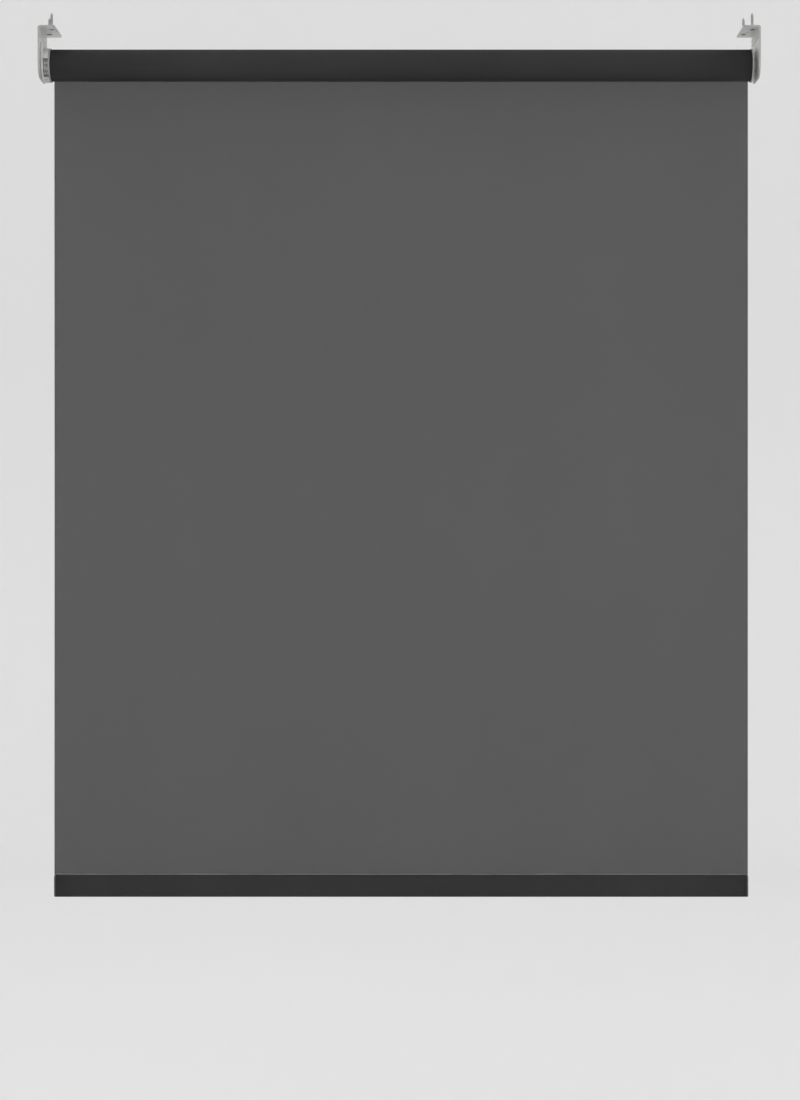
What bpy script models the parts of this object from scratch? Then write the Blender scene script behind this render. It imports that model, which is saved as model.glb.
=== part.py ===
"""Ceiling-fixed roller blind with a bead-chain winder, modelled as separate pieces.

Frame: the origin lies on the ceiling plane, midway between the brackets and above the roller axis.
+X runs along the roller to the idle end, +Y goes back to the window, +Z is up. Metres throughout.
"""
import math

import bmesh
import bpy
from mathutils import Matrix, Vector

# ---- driving sizes ----------------------------------------------------------------------------
OVERALL_WIDTH = 0.915  # outside to outside of the two brackets
AXIS_DROP = 0.045  # ceiling down to the roller axis
BAR_DROP = 1.0372  # roller axis down to the top of the hem pocket

GAP = 0.0003  # seat gap between pieces that touch
RUN_GAP = 0.0004  # side gap beside a turning piece
OVERCUT = 0.001  # how far a cutter reaches past the wall it cuts

# ---- brackets ---------------------------------------------------------------------------------
BRACKET_DEPTH = 0.064
BRACKET_BELOW_AXIS = 0.020  # roller axis down to the bracket's lower edge
BRACKET_PLATE = 0.0022
BRACKET_FOOT = 0.022  # width of the plate that lies on the ceiling
BEND_RADIUS = 0.003  # outside of the bend
FOOT_CORNER = 0.004
CHEEK_CORNER = 0.018  # lower corners of the upright plate
BEAD_RADIUS = 0.0013  # stiffening beads pressed along the upright plate
BEAD_DROPS = (0.0075, 0.0135)  # ceiling to each bead
BEAD_SINK = 0.0004
BEAD_SETBACK = 0.002  # bead's end to the plate's front and back edges
GROOVE_EDGE = 0.0013  # rim left outside the pressed groove on the foot
GROOVE_WIDTH = 0.0009
GROOVE_DEPTH = 0.0006
GROOVE_LENGTH = 0.026

# ---- ceiling screws ---------------------------------------------------------------------------
SCREW_LENGTH = 0.022
SCREW_RADIUS = 0.0019
SCREW_POINT = 0.004
SCREW_HEAD_RADIUS = 0.0036
SCREW_HEAD_HEIGHT = 0.0018
SCREW_HOLE_SLACK = 0.0005  # hole's radius over the screw's
SCREW_SETBACK = 0.014  # hole in front of or behind the roller axis
SCREW_INNER = 0.0152  # bracket's outer face to the inner hole
SCREW_OUTER = 0.0082  # bracket's outer face to the outer hole
PILOT_RADIUS = 0.0014
PILOT_PLACE = 0.012
DRIVE_SLOT_LENGTH = 0.0036
DRIVE_SLOT_WIDTH = 0.0009
DRIVE_SLOT_DEPTH = 0.001

# ---- winder guard, spindle and sprocket -------------------------------------------------------
GUARD_WALL = 0.0024
CHAIN_ROOM = 0.0026  # sprocket's rim to the shroud's inside
GUARD_RISE = 0.026  # roller axis up to the guard plate's top edge
GUARD_CORNER = 0.003
SHROUD_WALL = 0.0014
SHROUD_STEP = 0.0002  # shroud set in from the plate's edge
SHROUD_START = 15.0  # degrees above level where the closed part of the shroud starts
LIP_HALF_ANGLE = 36.0  # half the arc of the lip under the sprocket, degrees
LUG_OFFSET = 0.013  # roller axis to each hooking lug
LUG_WIDTH = 0.0024
LUG_HEIGHT = 0.008

SPROCKET_WIDTH = 0.0058
SPROCKET_RADIUS = 0.0178
BEAD_POCKETS = 16
POCKET_RADIUS = 0.0023
POCKET_SETBACK = 0.0006  # sprocket's rim in to the pockets' centres
SLEEVE_WALL = 0.0013

SPINDLE_RADIUS = 0.007
TAIL_STEP = 0.0015  # corners of the hexagonal tail outside the spindle's radius
SPINDLE_BORE = 0.0023
JOURNAL_LENGTH = 0.0032

SPRING_WIRE = 0.0012
SPRING_PITCH = 0.0017
SPRING_TURNS = 6
SPRING_ROOM = 0.0004  # wrap springs to the sleeve round them
SPRING_SLACK = 0.0006  # wrap springs to the spindle's end

RETAINER_FLANGE = 0.0015
RETAINER_SPIGOT = 0.0032
CLUTCH_SCREW_RADIUS = 0.002
CLUTCH_SCREW_LENGTH = 0.022
CLUTCH_HEAD_RADIUS = 0.0036
CLUTCH_HEAD_HEIGHT = 0.0022

# ---- drive hub and tube adapter ---------------------------------------------------------------
FLANGE_RIM = 0.0011  # end flanges outside the wound fabric
FLANGE_THICKNESS = 0.0016
HUB_WALL = 0.0024
HUB_ROOM = 0.0041  # clutch screw's head to the hub's end wall
HUB_KEY_WIDTH = 0.004
HUB_KEY_HEIGHT = 0.0012
ADAPTER_LENGTH = 0.030
HUB_END_WALL = 0.0015

# ---- tube, fixing cord and wound fabric -------------------------------------------------------
TUBE_RADIUS = 0.019
TUBE_WALL = 0.0013
CHANNEL_DEPTH = 0.0025  # tube's outside in to the middle of the fixing channel
CHANNEL_RADIUS = 0.0022
CHAMBER_RADIUS = 0.0014
CHANNEL_SLOT = 0.0012
FABRIC_THICKNESS = 0.0005
WOUND_THICKNESS = 0.001  # wraps that stay on the tube when the blind is fully down

# ---- idle end ---------------------------------------------------------------------------------
SOCKET_ROOM = 0.0016  # plug's flange to the socket
PLUG_LENGTH = 0.032
PLUG_FRONT_WALL = 0.003
CHAMBER_STEP = 0.0032  # chamber's bore outside the pin's radius
STOP_THICKNESS = 0.003
PIN_RADIUS = 0.003
PIN_TAIL_RADIUS = 0.0026
PIN_COLLAR = 0.0037
PIN_TAIL_LENGTH = 0.010
PIN_TIP_SETBACK = 0.0003  # pin tip to the bracket's outer face
IDLE_WIRE = 0.0008
IDLE_TURNS = 9
SOCKET_RADIUS = 0.0085
SOCKET_THICKNESS = 0.0027
SOCKET_WALL = 0.0019  # wall of the socket's spigot round its bore

# ---- hem bar ----------------------------------------------------------------------------------
HEM_HEIGHT = 0.0287
BAR_THICKNESS = 0.0076
BAR_WALL = 0.0011
CAP_PLATE = 0.0018
CAP_PLUG_LENGTH = 0.012

ROUND_STEPS = 40
SMALL_STEPS = 16

# ---- radii and heights worked out from the sizes above ------------------------------------------
BRACKET_HEIGHT = AXIS_DROP + BRACKET_BELOW_AXIS
SCREW_HOLE_RADIUS = SCREW_RADIUS + SCREW_HOLE_SLACK
GUARD_RADIUS = SPROCKET_RADIUS + CHAIN_ROOM + SHROUD_WALL
POCKET_CIRCLE = SPROCKET_RADIUS - POCKET_SETBACK
SPINDLE_TAIL = SPINDLE_RADIUS + TAIL_STEP
SLEEVE_BORE = SPINDLE_RADIUS + GAP + SPRING_WIRE + SPRING_ROOM
SLEEVE_RADIUS = SLEEVE_BORE + SLEEVE_WALL
HUB_RADIUS = SLEEVE_RADIUS + GAP + HUB_WALL
ROLL_RADIUS = TUBE_RADIUS + GAP + WOUND_THICKNESS
FLANGE_RADIUS = ROLL_RADIUS + FLANGE_RIM
ADAPTER_RADIUS = TUBE_RADIUS - TUBE_WALL - GAP
CHANNEL_CENTRE = TUBE_RADIUS - CHANNEL_DEPTH
CHAMBER_BORE = PIN_RADIUS + CHAMBER_STEP
SOCKET_BORE = PIN_RADIUS + GAP
SOCKET_SPIGOT = SOCKET_BORE + SOCKET_WALL
DROP_FRONT = ROLL_RADIUS + GAP  # front face of the hanging fabric
DROP_MIDDLE = DROP_FRONT + FABRIC_THICKNESS / 2
HEM_TOP = -AXIS_DROP - BAR_DROP
HEM_THICKNESS = BAR_THICKNESS + 2 * (GAP + FABRIC_THICKNESS)

# ---- places along the roller, worked out from the sizes above -----------------------------------
LEFT_OUTER = -OVERALL_WIDTH / 2
RIGHT_OUTER = OVERALL_WIDTH / 2
GUARD_OUTER = LEFT_OUTER + BRACKET_PLATE + GAP
GUARD_INNER = GUARD_OUTER + GUARD_WALL
SPROCKET_OUTER = GUARD_INNER + RUN_GAP
SPROCKET_INNER = SPROCKET_OUTER + SPROCKET_WIDTH
CROWN_OUTER = SPROCKET_INNER + RUN_GAP
CROWN_INNER = CROWN_OUTER + FLANGE_THICKNESS
FABRIC_LEFT = CROWN_INNER + RUN_GAP
SPRING_START = GUARD_INNER + GAP + JOURNAL_LENGTH + GAP
SPRING_LENGTH = SPRING_TURNS * SPRING_PITCH + SPRING_WIRE
SPINDLE_END = SPRING_START + 2 * SPRING_LENGTH + GAP + SPRING_SLACK
SLEEVE_END = SPINDLE_END + RETAINER_SPIGOT
CLUTCH_SEAT = SLEEVE_END + GAP + RETAINER_FLANGE + GAP
HUB_END = CLUTCH_SEAT + CLUTCH_HEAD_HEIGHT + HUB_ROOM + HUB_END_WALL
SOCKET_SEAT = RIGHT_OUTER - BRACKET_PLATE - GAP
PLUG_FACE = SOCKET_SEAT - SOCKET_THICKNESS - SOCKET_ROOM
FABRIC_RIGHT = PLUG_FACE - FLANGE_THICKNESS - GAP
CHAMBER_END = PLUG_FACE - PLUG_FRONT_WALL
PLUG_START = FABRIC_RIGHT - PLUG_LENGTH
COLLAR_INNER = CHAMBER_END - GAP - PIN_COLLAR
STOP_INNER = PLUG_START + STOP_THICKNESS
BAR_LEFT = FABRIC_LEFT + CAP_PLATE + GAP
BAR_RIGHT = FABRIC_RIGHT - CAP_PLATE - GAP

AXIS = Vector((0, 0, -AXIS_DROP))


# ---- scene and materials ------------------------------------------------------------------------
def clear_scene():
    for item in list(bpy.data.objects):
        bpy.data.objects.remove(item, do_unlink=True)


def material(name, colour, roughness, metallic=0.0):
    """A plain Principled material, made once."""
    found = bpy.data.materials.get(name)
    if found:
        return found
    made = bpy.data.materials.new(name)
    made.use_nodes = True
    shader = made.node_tree.nodes["Principled BSDF"]
    shader.inputs["Base Color"].default_value = (*colour, 1)
    shader.inputs["Roughness"].default_value = roughness
    shader.inputs["Metallic"].default_value = metallic
    return made


def bracket_steel():
    return material("bracket_steel", (0.62, 0.61, 0.60), 0.35, 0.9)


def screw_steel():
    return material("screw_steel", (0.30, 0.30, 0.31), 0.40, 0.9)


def spring_steel():
    return material("spring_steel", (0.45, 0.45, 0.47), 0.35, 1.0)


def guard_grey():
    return material("guard_grey", (0.50, 0.50, 0.50), 0.50)


def sprocket_grey():
    return material("sprocket_grey", (0.36, 0.36, 0.37), 0.55)


def inner_black():
    return material("inner_black", (0.05, 0.05, 0.055), 0.55)


def tube_aluminium():
    return material("tube_aluminium", (0.70, 0.70, 0.72), 0.35, 1.0)


def charcoal_fabric():
    return material("charcoal_fabric", (0.035, 0.035, 0.036), 0.90)


def cap_charcoal():
    return material("cap_charcoal", (0.045, 0.045, 0.047), 0.55)


# ---- shape helpers ------------------------------------------------------------------------------
def add(name, bm, look, place=(0, 0, 0), sharp=35.0):
    """Finish a bmesh as a named object with its own origin at place."""
    bmesh.ops.remove_doubles(bm, verts=bm.verts[:], dist=1e-6)
    bmesh.ops.recalc_face_normals(bm, faces=bm.faces[:])
    mesh = bpy.data.meshes.new(name)
    bm.to_mesh(mesh)
    bm.free()
    mesh.shade_smooth()
    mesh.set_sharp_from_angle(angle=math.radians(sharp))
    item = bpy.data.objects.new(name, mesh)
    item.location = place
    if look:
        mesh.materials.append(look)
    bpy.context.collection.objects.link(item)
    return item


def turned(profile, steps=ROUND_STEPS):
    """Turn a closed outline of (along X, radius) points about the X axis.

    Points on the axis close the ends of a solid; an outline clear of the axis makes a ring.
    """
    bm = bmesh.new()
    ring = [bm.verts.new((x, 0, r)) for x, r in profile]
    for a, b in zip(ring, ring[1:] + ring[:1]):
        if a.co.z > 0 or b.co.z > 0:
            bm.edges.new((a, b))
    bmesh.ops.spin(
        bm,
        geom=bm.verts[:] + bm.edges[:],
        cent=(0, 0, 0),
        axis=(1, 0, 0),
        angle=math.tau,
        steps=steps,
        use_merge=True,
    )
    return bm


def prism(outline, start, end, axis="X"):
    """Extrude a closed outline along an axis; its points are (y, z), (x, z) or (x, y)."""
    bm = bmesh.new()
    if axis == "X":
        corners = [bm.verts.new((start, a, b)) for a, b in outline]
        reach = Vector((end - start, 0, 0))
    elif axis == "Y":
        corners = [bm.verts.new((a, start, b)) for a, b in outline]
        reach = Vector((0, end - start, 0))
    else:
        corners = [bm.verts.new((a, b, start)) for a, b in outline]
        reach = Vector((0, 0, end - start))
    face = bm.faces.new(corners)
    grown = bmesh.ops.extrude_face_region(bm, geom=[face])
    moved = [v for v in grown["geom"] if isinstance(v, bmesh.types.BMVert)]
    bmesh.ops.translate(bm, verts=moved, vec=reach)
    return bm


def arc(centre, radius, start, end, steps):
    """Points on an arc, angles in degrees."""
    turns = [math.radians(start + (end - start) * i / steps) for i in range(steps + 1)]
    return [(centre[0] + radius * math.cos(t), centre[1] + radius * math.sin(t)) for t in turns]


def oval(height, thickness, centre, steps=8):
    """A flat-sided oval outline in (y, z), as tall as height."""
    radius = thickness / 2
    rise = height / 2 - radius
    upper = arc((centre[0], centre[1] + rise), radius, 0, 180, steps)
    lower = arc((centre[0], centre[1] - rise), radius, 180, 360, steps)
    return upper + lower


def block(low, high):
    """A box between two corners."""
    bm = bmesh.new()
    bmesh.ops.create_cube(bm, size=1)
    size = [b - a for a, b in zip(low, high)]
    middle = [(a + b) / 2 for a, b in zip(low, high)]
    bmesh.ops.scale(bm, vec=size, verts=bm.verts[:])
    bmesh.ops.translate(bm, vec=middle, verts=bm.verts[:])
    return bm


def combine(target, name, bm, operation, place=(0, 0, 0)):
    """Cut or join target with a hidden guide shape that shares its parent frame."""
    guide = add(name, bm, None, place)
    guide.hide_render = True
    guide.display_type = "WIRE"
    step = target.modifiers.new(name, "BOOLEAN")
    step.operation = operation
    step.solver = "EXACT"
    step.object = guide
    return guide


def cut(target, name, bm, place=(0, 0, 0)):
    return combine(target, name, bm, "DIFFERENCE", place)


def join(target, name, bm, place=(0, 0, 0)):
    return combine(target, name, bm, "UNION", place)


def spring(name, start, wire, radius, pitch, turns, look, place, steps=12):
    """An open helical spring about X, drawn as a curve with a round section."""
    data = bpy.data.curves.new(name, "CURVE")
    data.dimensions = "3D"
    data.bevel_depth = wire / 2
    data.bevel_resolution = 1
    data.use_fill_caps = True
    path = data.splines.new("POLY")
    count = turns * steps + 1
    path.points.add(count - 1)
    for i in range(count):
        angle = math.tau * i / steps
        along = start + wire / 2 + pitch * i / steps
        path.points[i].co = (along, radius * math.cos(angle), radius * math.sin(angle), 1)
    data.materials.append(look)
    item = bpy.data.objects.new(name, data)
    item.location = place
    bpy.context.collection.objects.link(item)
    return item


# ---- brackets and their screws --------------------------------------------------------------------
def bracket_plate():
    """The bent plate: its outer face at x = 0, its foot's upper face at z = 0."""
    inner_bend = BEND_RADIUS - BRACKET_PLATE
    outer = arc((BEND_RADIUS, -BEND_RADIUS), BEND_RADIUS, 90, 180, 5)
    inner = arc((BEND_RADIUS, -BEND_RADIUS), inner_bend, 180, 90, 3)
    profile = [(BRACKET_FOOT, 0)] + outer
    profile += [(0, -BRACKET_HEIGHT), (BRACKET_PLATE, -BRACKET_HEIGHT)]
    profile += inner + [(BRACKET_FOOT, -BRACKET_PLATE)]
    bm = prism(profile, -BRACKET_DEPTH / 2, BRACKET_DEPTH / 2, "Y")

    def corner_edges(axis, value):
        across = "xyz".index("x" if axis == "z" else "z")
        along = "xyz".index(axis)
        return [
            e
            for e in bm.edges
            if all(abs(v.co[along] - value) < 1e-7 for v in e.verts)
            and abs(e.verts[0].co[across] - e.verts[1].co[across]) > BRACKET_PLATE / 2
            and abs(e.verts[0].co.y - e.verts[1].co.y) < 1e-7
        ]

    for edges, size, segments in (
        (corner_edges("x", BRACKET_FOOT), FOOT_CORNER, 5),
        (corner_edges("z", -BRACKET_HEIGHT), CHEEK_CORNER, 8),
    ):
        bmesh.ops.bevel(bm, geom=edges, offset=size, segments=segments, profile=0.5,
                        affect="EDGES", material=-1)
    return bm


def upright(bm, place):
    """Stand a shape that was turned about X upright, head down, at a place."""
    quarter = Matrix.Rotation(-math.pi / 2, 3, "Y")
    bmesh.ops.rotate(bm, verts=bm.verts[:], cent=(0, 0, 0), matrix=quarter)
    bmesh.ops.translate(bm, verts=bm.verts[:], vec=place)
    return bm


def screw_hole(radius, head_radius, head_height):
    """A countersunk through hole, along X from its mouth."""
    reach = BRACKET_PLATE + OVERCUT
    return [
        (-OVERCUT, 0),
        (-OVERCUT, head_radius),
        (0, head_radius),
        (head_height, radius),
        (reach, radius),
        (reach, 0),
    ]


def groove():
    """Shallow pressed groove that follows the foot's free edge round its front corner."""
    radius = FOOT_CORNER - GROOVE_EDGE
    front = -BRACKET_DEPTH / 2 + FOOT_CORNER
    centre = (BRACKET_FOOT - FOOT_CORNER, front)
    outer = arc(centre, radius, 0, -60, 4)
    inner = arc(centre, radius - GROOVE_WIDTH, -60, 0, 4)
    back = front + GROOVE_LENGTH
    outline = [(centre[0] + radius, back)] + outer + inner + [(centre[0] + radius - GROOVE_WIDTH, back)]
    top = -BRACKET_PLATE + GROOVE_DEPTH
    return prism(outline, -BRACKET_PLATE - OVERCUT, top, "Z")


def hole_places():
    """Each screw's name and its place on the bracket, from its outer face and the roller axis."""
    return (
        ("inner", (SCREW_INNER, -SCREW_SETBACK)),
        ("outer", (SCREW_OUTER, SCREW_SETBACK)),
    )


def lug_spans():
    """Low and high y of the two hooking lugs."""
    return [(side * LUG_OFFSET - LUG_WIDTH / 2, side * LUG_OFFSET + LUG_WIDTH / 2) for side in (-1, 1)]


def bracket(name, place, turn):
    """One bent bracket; the idle side's is the same piece turned half round."""
    plate = add(name, bracket_plate(), bracket_steel(), place)
    plate.rotation_euler = (0, 0, turn)
    guides = []
    for drop in BEAD_DROPS:
        x = BRACKET_PLATE - BEAD_SINK
        reach = BRACKET_DEPTH / 2 - BEAD_SETBACK
        bead = turned([(-reach, 0), (-reach, BEAD_RADIUS), (reach, BEAD_RADIUS), (reach, 0)], 12)
        bmesh.ops.rotate(bead, verts=bead.verts[:], cent=(0, 0, 0),
                         matrix=Matrix.Rotation(math.pi / 2, 3, "Z"))
        bmesh.ops.translate(bead, verts=bead.verts[:], vec=(x, 0, -drop))
        guides.append(join(plate, f"{name}.bead.{len(guides)}", bead))
    for label, (x, y) in hole_places():
        hole = upright(
            turned(screw_hole(SCREW_HOLE_RADIUS, SCREW_HEAD_RADIUS + GAP, SCREW_HEAD_HEIGHT), 20),
            (x, y, -BRACKET_PLATE),
        )
        guides.append(cut(plate, f"{name}.hole.{label}", hole))
    pilot = turned(screw_hole(PILOT_RADIUS, PILOT_RADIUS, BRACKET_PLATE / 2), 12)
    upright(pilot, (PILOT_PLACE, 0, -BRACKET_PLATE))
    guides.append(cut(plate, f"{name}.pilot", pilot))
    guides.append(cut(plate, f"{name}.groove", groove()))
    for low, high in lug_spans():
        slot = block(
            (-OVERCUT, low - GAP, -AXIS_DROP - LUG_HEIGHT / 2 - GAP),
            (BRACKET_PLATE + OVERCUT, high + GAP, -AXIS_DROP + LUG_HEIGHT / 2 + GAP),
        )
        guides.append(cut(plate, f"{name}.slot.{len(guides)}", slot))
    ends = (-OVERCUT, BRACKET_PLATE + OVERCUT)
    radius = SOCKET_SPIGOT + GAP
    eye = turned([(ends[0], 0), (ends[0], radius), (ends[1], radius), (ends[1], 0)], 24)
    bmesh.ops.translate(eye, verts=eye.verts[:], vec=(0, 0, -AXIS_DROP))
    guides.append(cut(plate, f"{name}.eye", eye))
    for guide in guides:
        guide.parent = plate
    return plate


def ceiling_screw(name, place):
    """A countersunk wood screw, its head flush with the foot's lower face and its point up."""
    tip = SCREW_LENGTH - SCREW_POINT
    profile = [
        (0, 0),
        (0, SCREW_HEAD_RADIUS),
        (SCREW_HEAD_HEIGHT, SCREW_RADIUS),
        (tip, SCREW_RADIUS),
        (SCREW_LENGTH, SCREW_RADIUS / 10),
        (SCREW_LENGTH, 0),
    ]
    screw = add(name, upright(turned(profile, SMALL_STEPS), (0, 0, 0)), screw_steel(), place)
    size = (DRIVE_SLOT_LENGTH, DRIVE_SLOT_WIDTH)
    for label, (a, b) in (("across", size), ("along", size[::-1])):
        slot = block((-a / 2, -b / 2, -OVERCUT), (a / 2, b / 2, DRIVE_SLOT_DEPTH))
        guide = cut(screw, f"{name}.drive.{label}", slot)
        guide.parent = screw
    return screw


def brackets():
    for side, outer, turn in (("left", LEFT_OUTER, 0.0), ("right", RIGHT_OUTER, math.pi)):
        bracket(f"bracket_{side}", (outer, 0, 0), turn)
        for label, (x, y) in hole_places():
            way = math.cos(turn)
            place = (outer + way * x, way * y, -BRACKET_PLATE)
            ceiling_screw(f"ceiling_screw_{side}_{label}", place)


# ---- control end: guard, spindle, springs, sprocket -------------------------------------------------
def winder_guard():
    """Guard plate with a shroud over the sprocket, open for the chain at front and back."""
    plate = arc((0, 0), GUARD_RADIUS, 180, 360, 20)
    corner = GUARD_CORNER
    right = (GUARD_RADIUS - corner, GUARD_RISE - corner)
    left = (-GUARD_RADIUS + corner, GUARD_RISE - corner)
    plate += arc(right, corner, 0, 90, 4) + arc(left, corner, 90, 180, 4)
    guard = add("winder_guard", prism(plate, GUARD_OUTER, GUARD_INNER), guard_grey(), AXIS)
    shroud_inner = GUARD_RADIUS - SHROUD_WALL
    overlap = GUARD_WALL / 2
    arcs = (
        ("shroud", SHROUD_START, 180 - SHROUD_START, 20),
        ("lip", -90 - LIP_HALF_ANGLE, -90 + LIP_HALF_ANGLE, 10),
    )
    for label, start, end, steps in arcs:
        outline = arc((0, 0), GUARD_RADIUS - SHROUD_STEP, start, end, steps)
        outline += arc((0, 0), shroud_inner, end, start, steps)
        wall = prism(outline, GUARD_INNER - overlap, SPROCKET_INNER)
        join(guard, f"winder_guard.{label}", wall, AXIS)
    for number, (low, high) in enumerate(lug_spans()):
        lug = block(
            (LEFT_OUTER + PIN_TIP_SETBACK, low, -LUG_HEIGHT / 2),
            (GUARD_OUTER + overlap, high, LUG_HEIGHT / 2),
        )
        join(guard, f"winder_guard.lug.{number}", lug, AXIS)
    tail = prism(arc((0, 0), SPINDLE_TAIL + GAP, 0, 300, 5), GUARD_OUTER - OVERCUT, GUARD_INNER + OVERCUT)
    cut(guard, "winder_guard.tail", tail, AXIS)


def clutch_spindle():
    """Fixed core of the clutch: a hexagonal tail in the guard, a journal and a plain shaft."""
    journal = SLEEVE_BORE - GAP
    start = GUARD_INNER + GAP
    profile = [
        (start, 0),
        (start, journal),
        (start + JOURNAL_LENGTH, journal),
        (start + JOURNAL_LENGTH, SPINDLE_RADIUS),
        (SPINDLE_END, SPINDLE_RADIUS),
        (SPINDLE_END, 0),
    ]
    spindle = add("clutch_spindle", turned(profile, 24), inner_black(), AXIS)
    tail = prism(arc((0, 0), SPINDLE_TAIL, 0, 300, 5), GUARD_OUTER, start + JOURNAL_LENGTH / 2)
    join(spindle, "clutch_spindle.tail", tail, AXIS)
    depth = CLUTCH_SCREW_LENGTH + GAP
    bore = turned(
        [
            (SPINDLE_END - depth, 0),
            (SPINDLE_END - depth, SPINDLE_BORE),
            (SPINDLE_END + OVERCUT, SPINDLE_BORE),
            (SPINDLE_END + OVERCUT, 0),
        ],
        SMALL_STEPS,
    )
    cut(spindle, "clutch_spindle.bore", bore, AXIS)


def bead_sprocket():
    """Bead wheel with a long sleeve that surrounds the wrap springs."""
    profile = [
        (SPROCKET_OUTER, SLEEVE_BORE),
        (SPROCKET_OUTER, SPROCKET_RADIUS),
        (SPROCKET_INNER, SPROCKET_RADIUS),
        (SPROCKET_INNER, SLEEVE_RADIUS),
        (SLEEVE_END, SLEEVE_RADIUS),
        (SLEEVE_END, SLEEVE_BORE),
    ]
    wheel = add("bead_sprocket", turned(profile, 32), sprocket_grey(), AXIS)
    pockets = bmesh.new()
    middle = (SPROCKET_OUTER + SPROCKET_INNER) / 2
    for number in range(BEAD_POCKETS):
        angle = math.tau * (number + 0.5) / BEAD_POCKETS
        spot = (middle, POCKET_CIRCLE * math.cos(angle), POCKET_CIRCLE * math.sin(angle))
        bmesh.ops.create_icosphere(
            pockets, subdivisions=2, radius=POCKET_RADIUS, matrix=Matrix.Translation(spot)
        )
    cut(wheel, "bead_sprocket.pockets", pockets, AXIS)


def wrap_springs():
    """Two brake springs wound round the spindle inside the sprocket's sleeve."""
    radius = SPINDLE_RADIUS + GAP + SPRING_WIRE / 2
    for label, offset in (("outer", 0), ("inner", SPRING_LENGTH + GAP)):
        spring(f"wrap_spring_{label}", SPRING_START + offset, SPRING_WIRE, radius, SPRING_PITCH,
               SPRING_TURNS, spring_steel(), AXIS)


def clutch_retainer():
    """Top hat that keeps the sprocket on the spindle; its spigot carries the sleeve's inner end."""
    bore = CLUTCH_SCREW_RADIUS + GAP
    spigot = SLEEVE_BORE - GAP
    shoulder = SLEEVE_END + GAP
    profile = [
        (SPINDLE_END + GAP, bore),
        (SPINDLE_END + GAP, spigot),
        (shoulder, spigot),
        (shoulder, SLEEVE_RADIUS),
        (shoulder + RETAINER_FLANGE, SLEEVE_RADIUS),
        (shoulder + RETAINER_FLANGE, bore),
    ]
    add("clutch_retainer", turned(profile, 24), inner_black(), AXIS)


def clutch_screw():
    """Pan-head screw through the retainer into the spindle."""
    start = CLUTCH_SEAT - CLUTCH_SCREW_LENGTH
    end = CLUTCH_SEAT + CLUTCH_HEAD_HEIGHT
    profile = [
        (start, 0),
        (start, CLUTCH_SCREW_RADIUS - GAP),
        (start + GAP, CLUTCH_SCREW_RADIUS),
        (CLUTCH_SEAT, CLUTCH_SCREW_RADIUS),
        (CLUTCH_SEAT, CLUTCH_HEAD_RADIUS),
        (end - CLUTCH_HEAD_HEIGHT / 3, CLUTCH_HEAD_RADIUS),
        (end, CLUTCH_HEAD_RADIUS * 0.7),
        (end, 0),
    ]
    add("clutch_screw", turned(profile, SMALL_STEPS), screw_steel(), AXIS)


# ---- tube, its control-end drive and the fabric on it -----------------------------------------------
def drive_hub():
    """Cup driven by the sprocket; it turns on the sleeve and keys into the tube adapter."""
    bore = SLEEVE_RADIUS + GAP
    profile = [
        (CROWN_OUTER, bore),
        (CROWN_OUTER, HUB_RADIUS),
        (HUB_END, HUB_RADIUS),
        (HUB_END, 0),
        (HUB_END - HUB_END_WALL, 0),
        (HUB_END - HUB_END_WALL, bore),
    ]
    hub = add("drive_hub", turned(profile, 32), inner_black(), AXIS)
    for number, way in enumerate((-1, 1)):
        near = HUB_RADIUS - HUB_KEY_HEIGHT
        far = HUB_RADIUS + HUB_KEY_HEIGHT
        key = block(
            (CROWN_INNER, min(way * near, way * far), -HUB_KEY_WIDTH / 2),
            (HUB_END - HUB_END_WALL, max(way * near, way * far), HUB_KEY_WIDTH / 2),
        )
        join(hub, f"drive_hub.key.{number}", key, AXIS)


def channel_notch(item, name, start, end):
    """Clear the tube's fixing channel from a piece that fits inside the tube."""
    radius = CHANNEL_RADIUS + GAP
    floor = CHANNEL_CENTRE
    outline = arc((0, floor), radius, 180, 360, 10)
    outline += [(radius, TUBE_RADIUS), (-radius, TUBE_RADIUS)]
    cut(item, f"{name}.channel_notch", prism(outline, start, end), AXIS)


def tube_adapter():
    """Flanged crown between the drive hub and the tube."""
    end = CROWN_INNER + ADAPTER_LENGTH
    bore = HUB_RADIUS + GAP
    profile = [
        (CROWN_OUTER, bore),
        (CROWN_OUTER, FLANGE_RADIUS),
        (CROWN_INNER, FLANGE_RADIUS),
        (CROWN_INNER, ADAPTER_RADIUS),
        (end, ADAPTER_RADIUS),
        (end, bore),
    ]
    adapter = add("tube_adapter", turned(profile), guard_grey(), AXIS)
    reach = HUB_RADIUS + HUB_KEY_HEIGHT + GAP
    width = HUB_KEY_WIDTH / 2 + GAP
    slots = block((CROWN_INNER - GAP, -reach, -width), (end + OVERCUT, reach, width))
    cut(adapter, "tube_adapter.key_slots", slots, AXIS)
    channel_notch(adapter, "tube_adapter", FABRIC_LEFT - GAP, end + OVERCUT)


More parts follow.
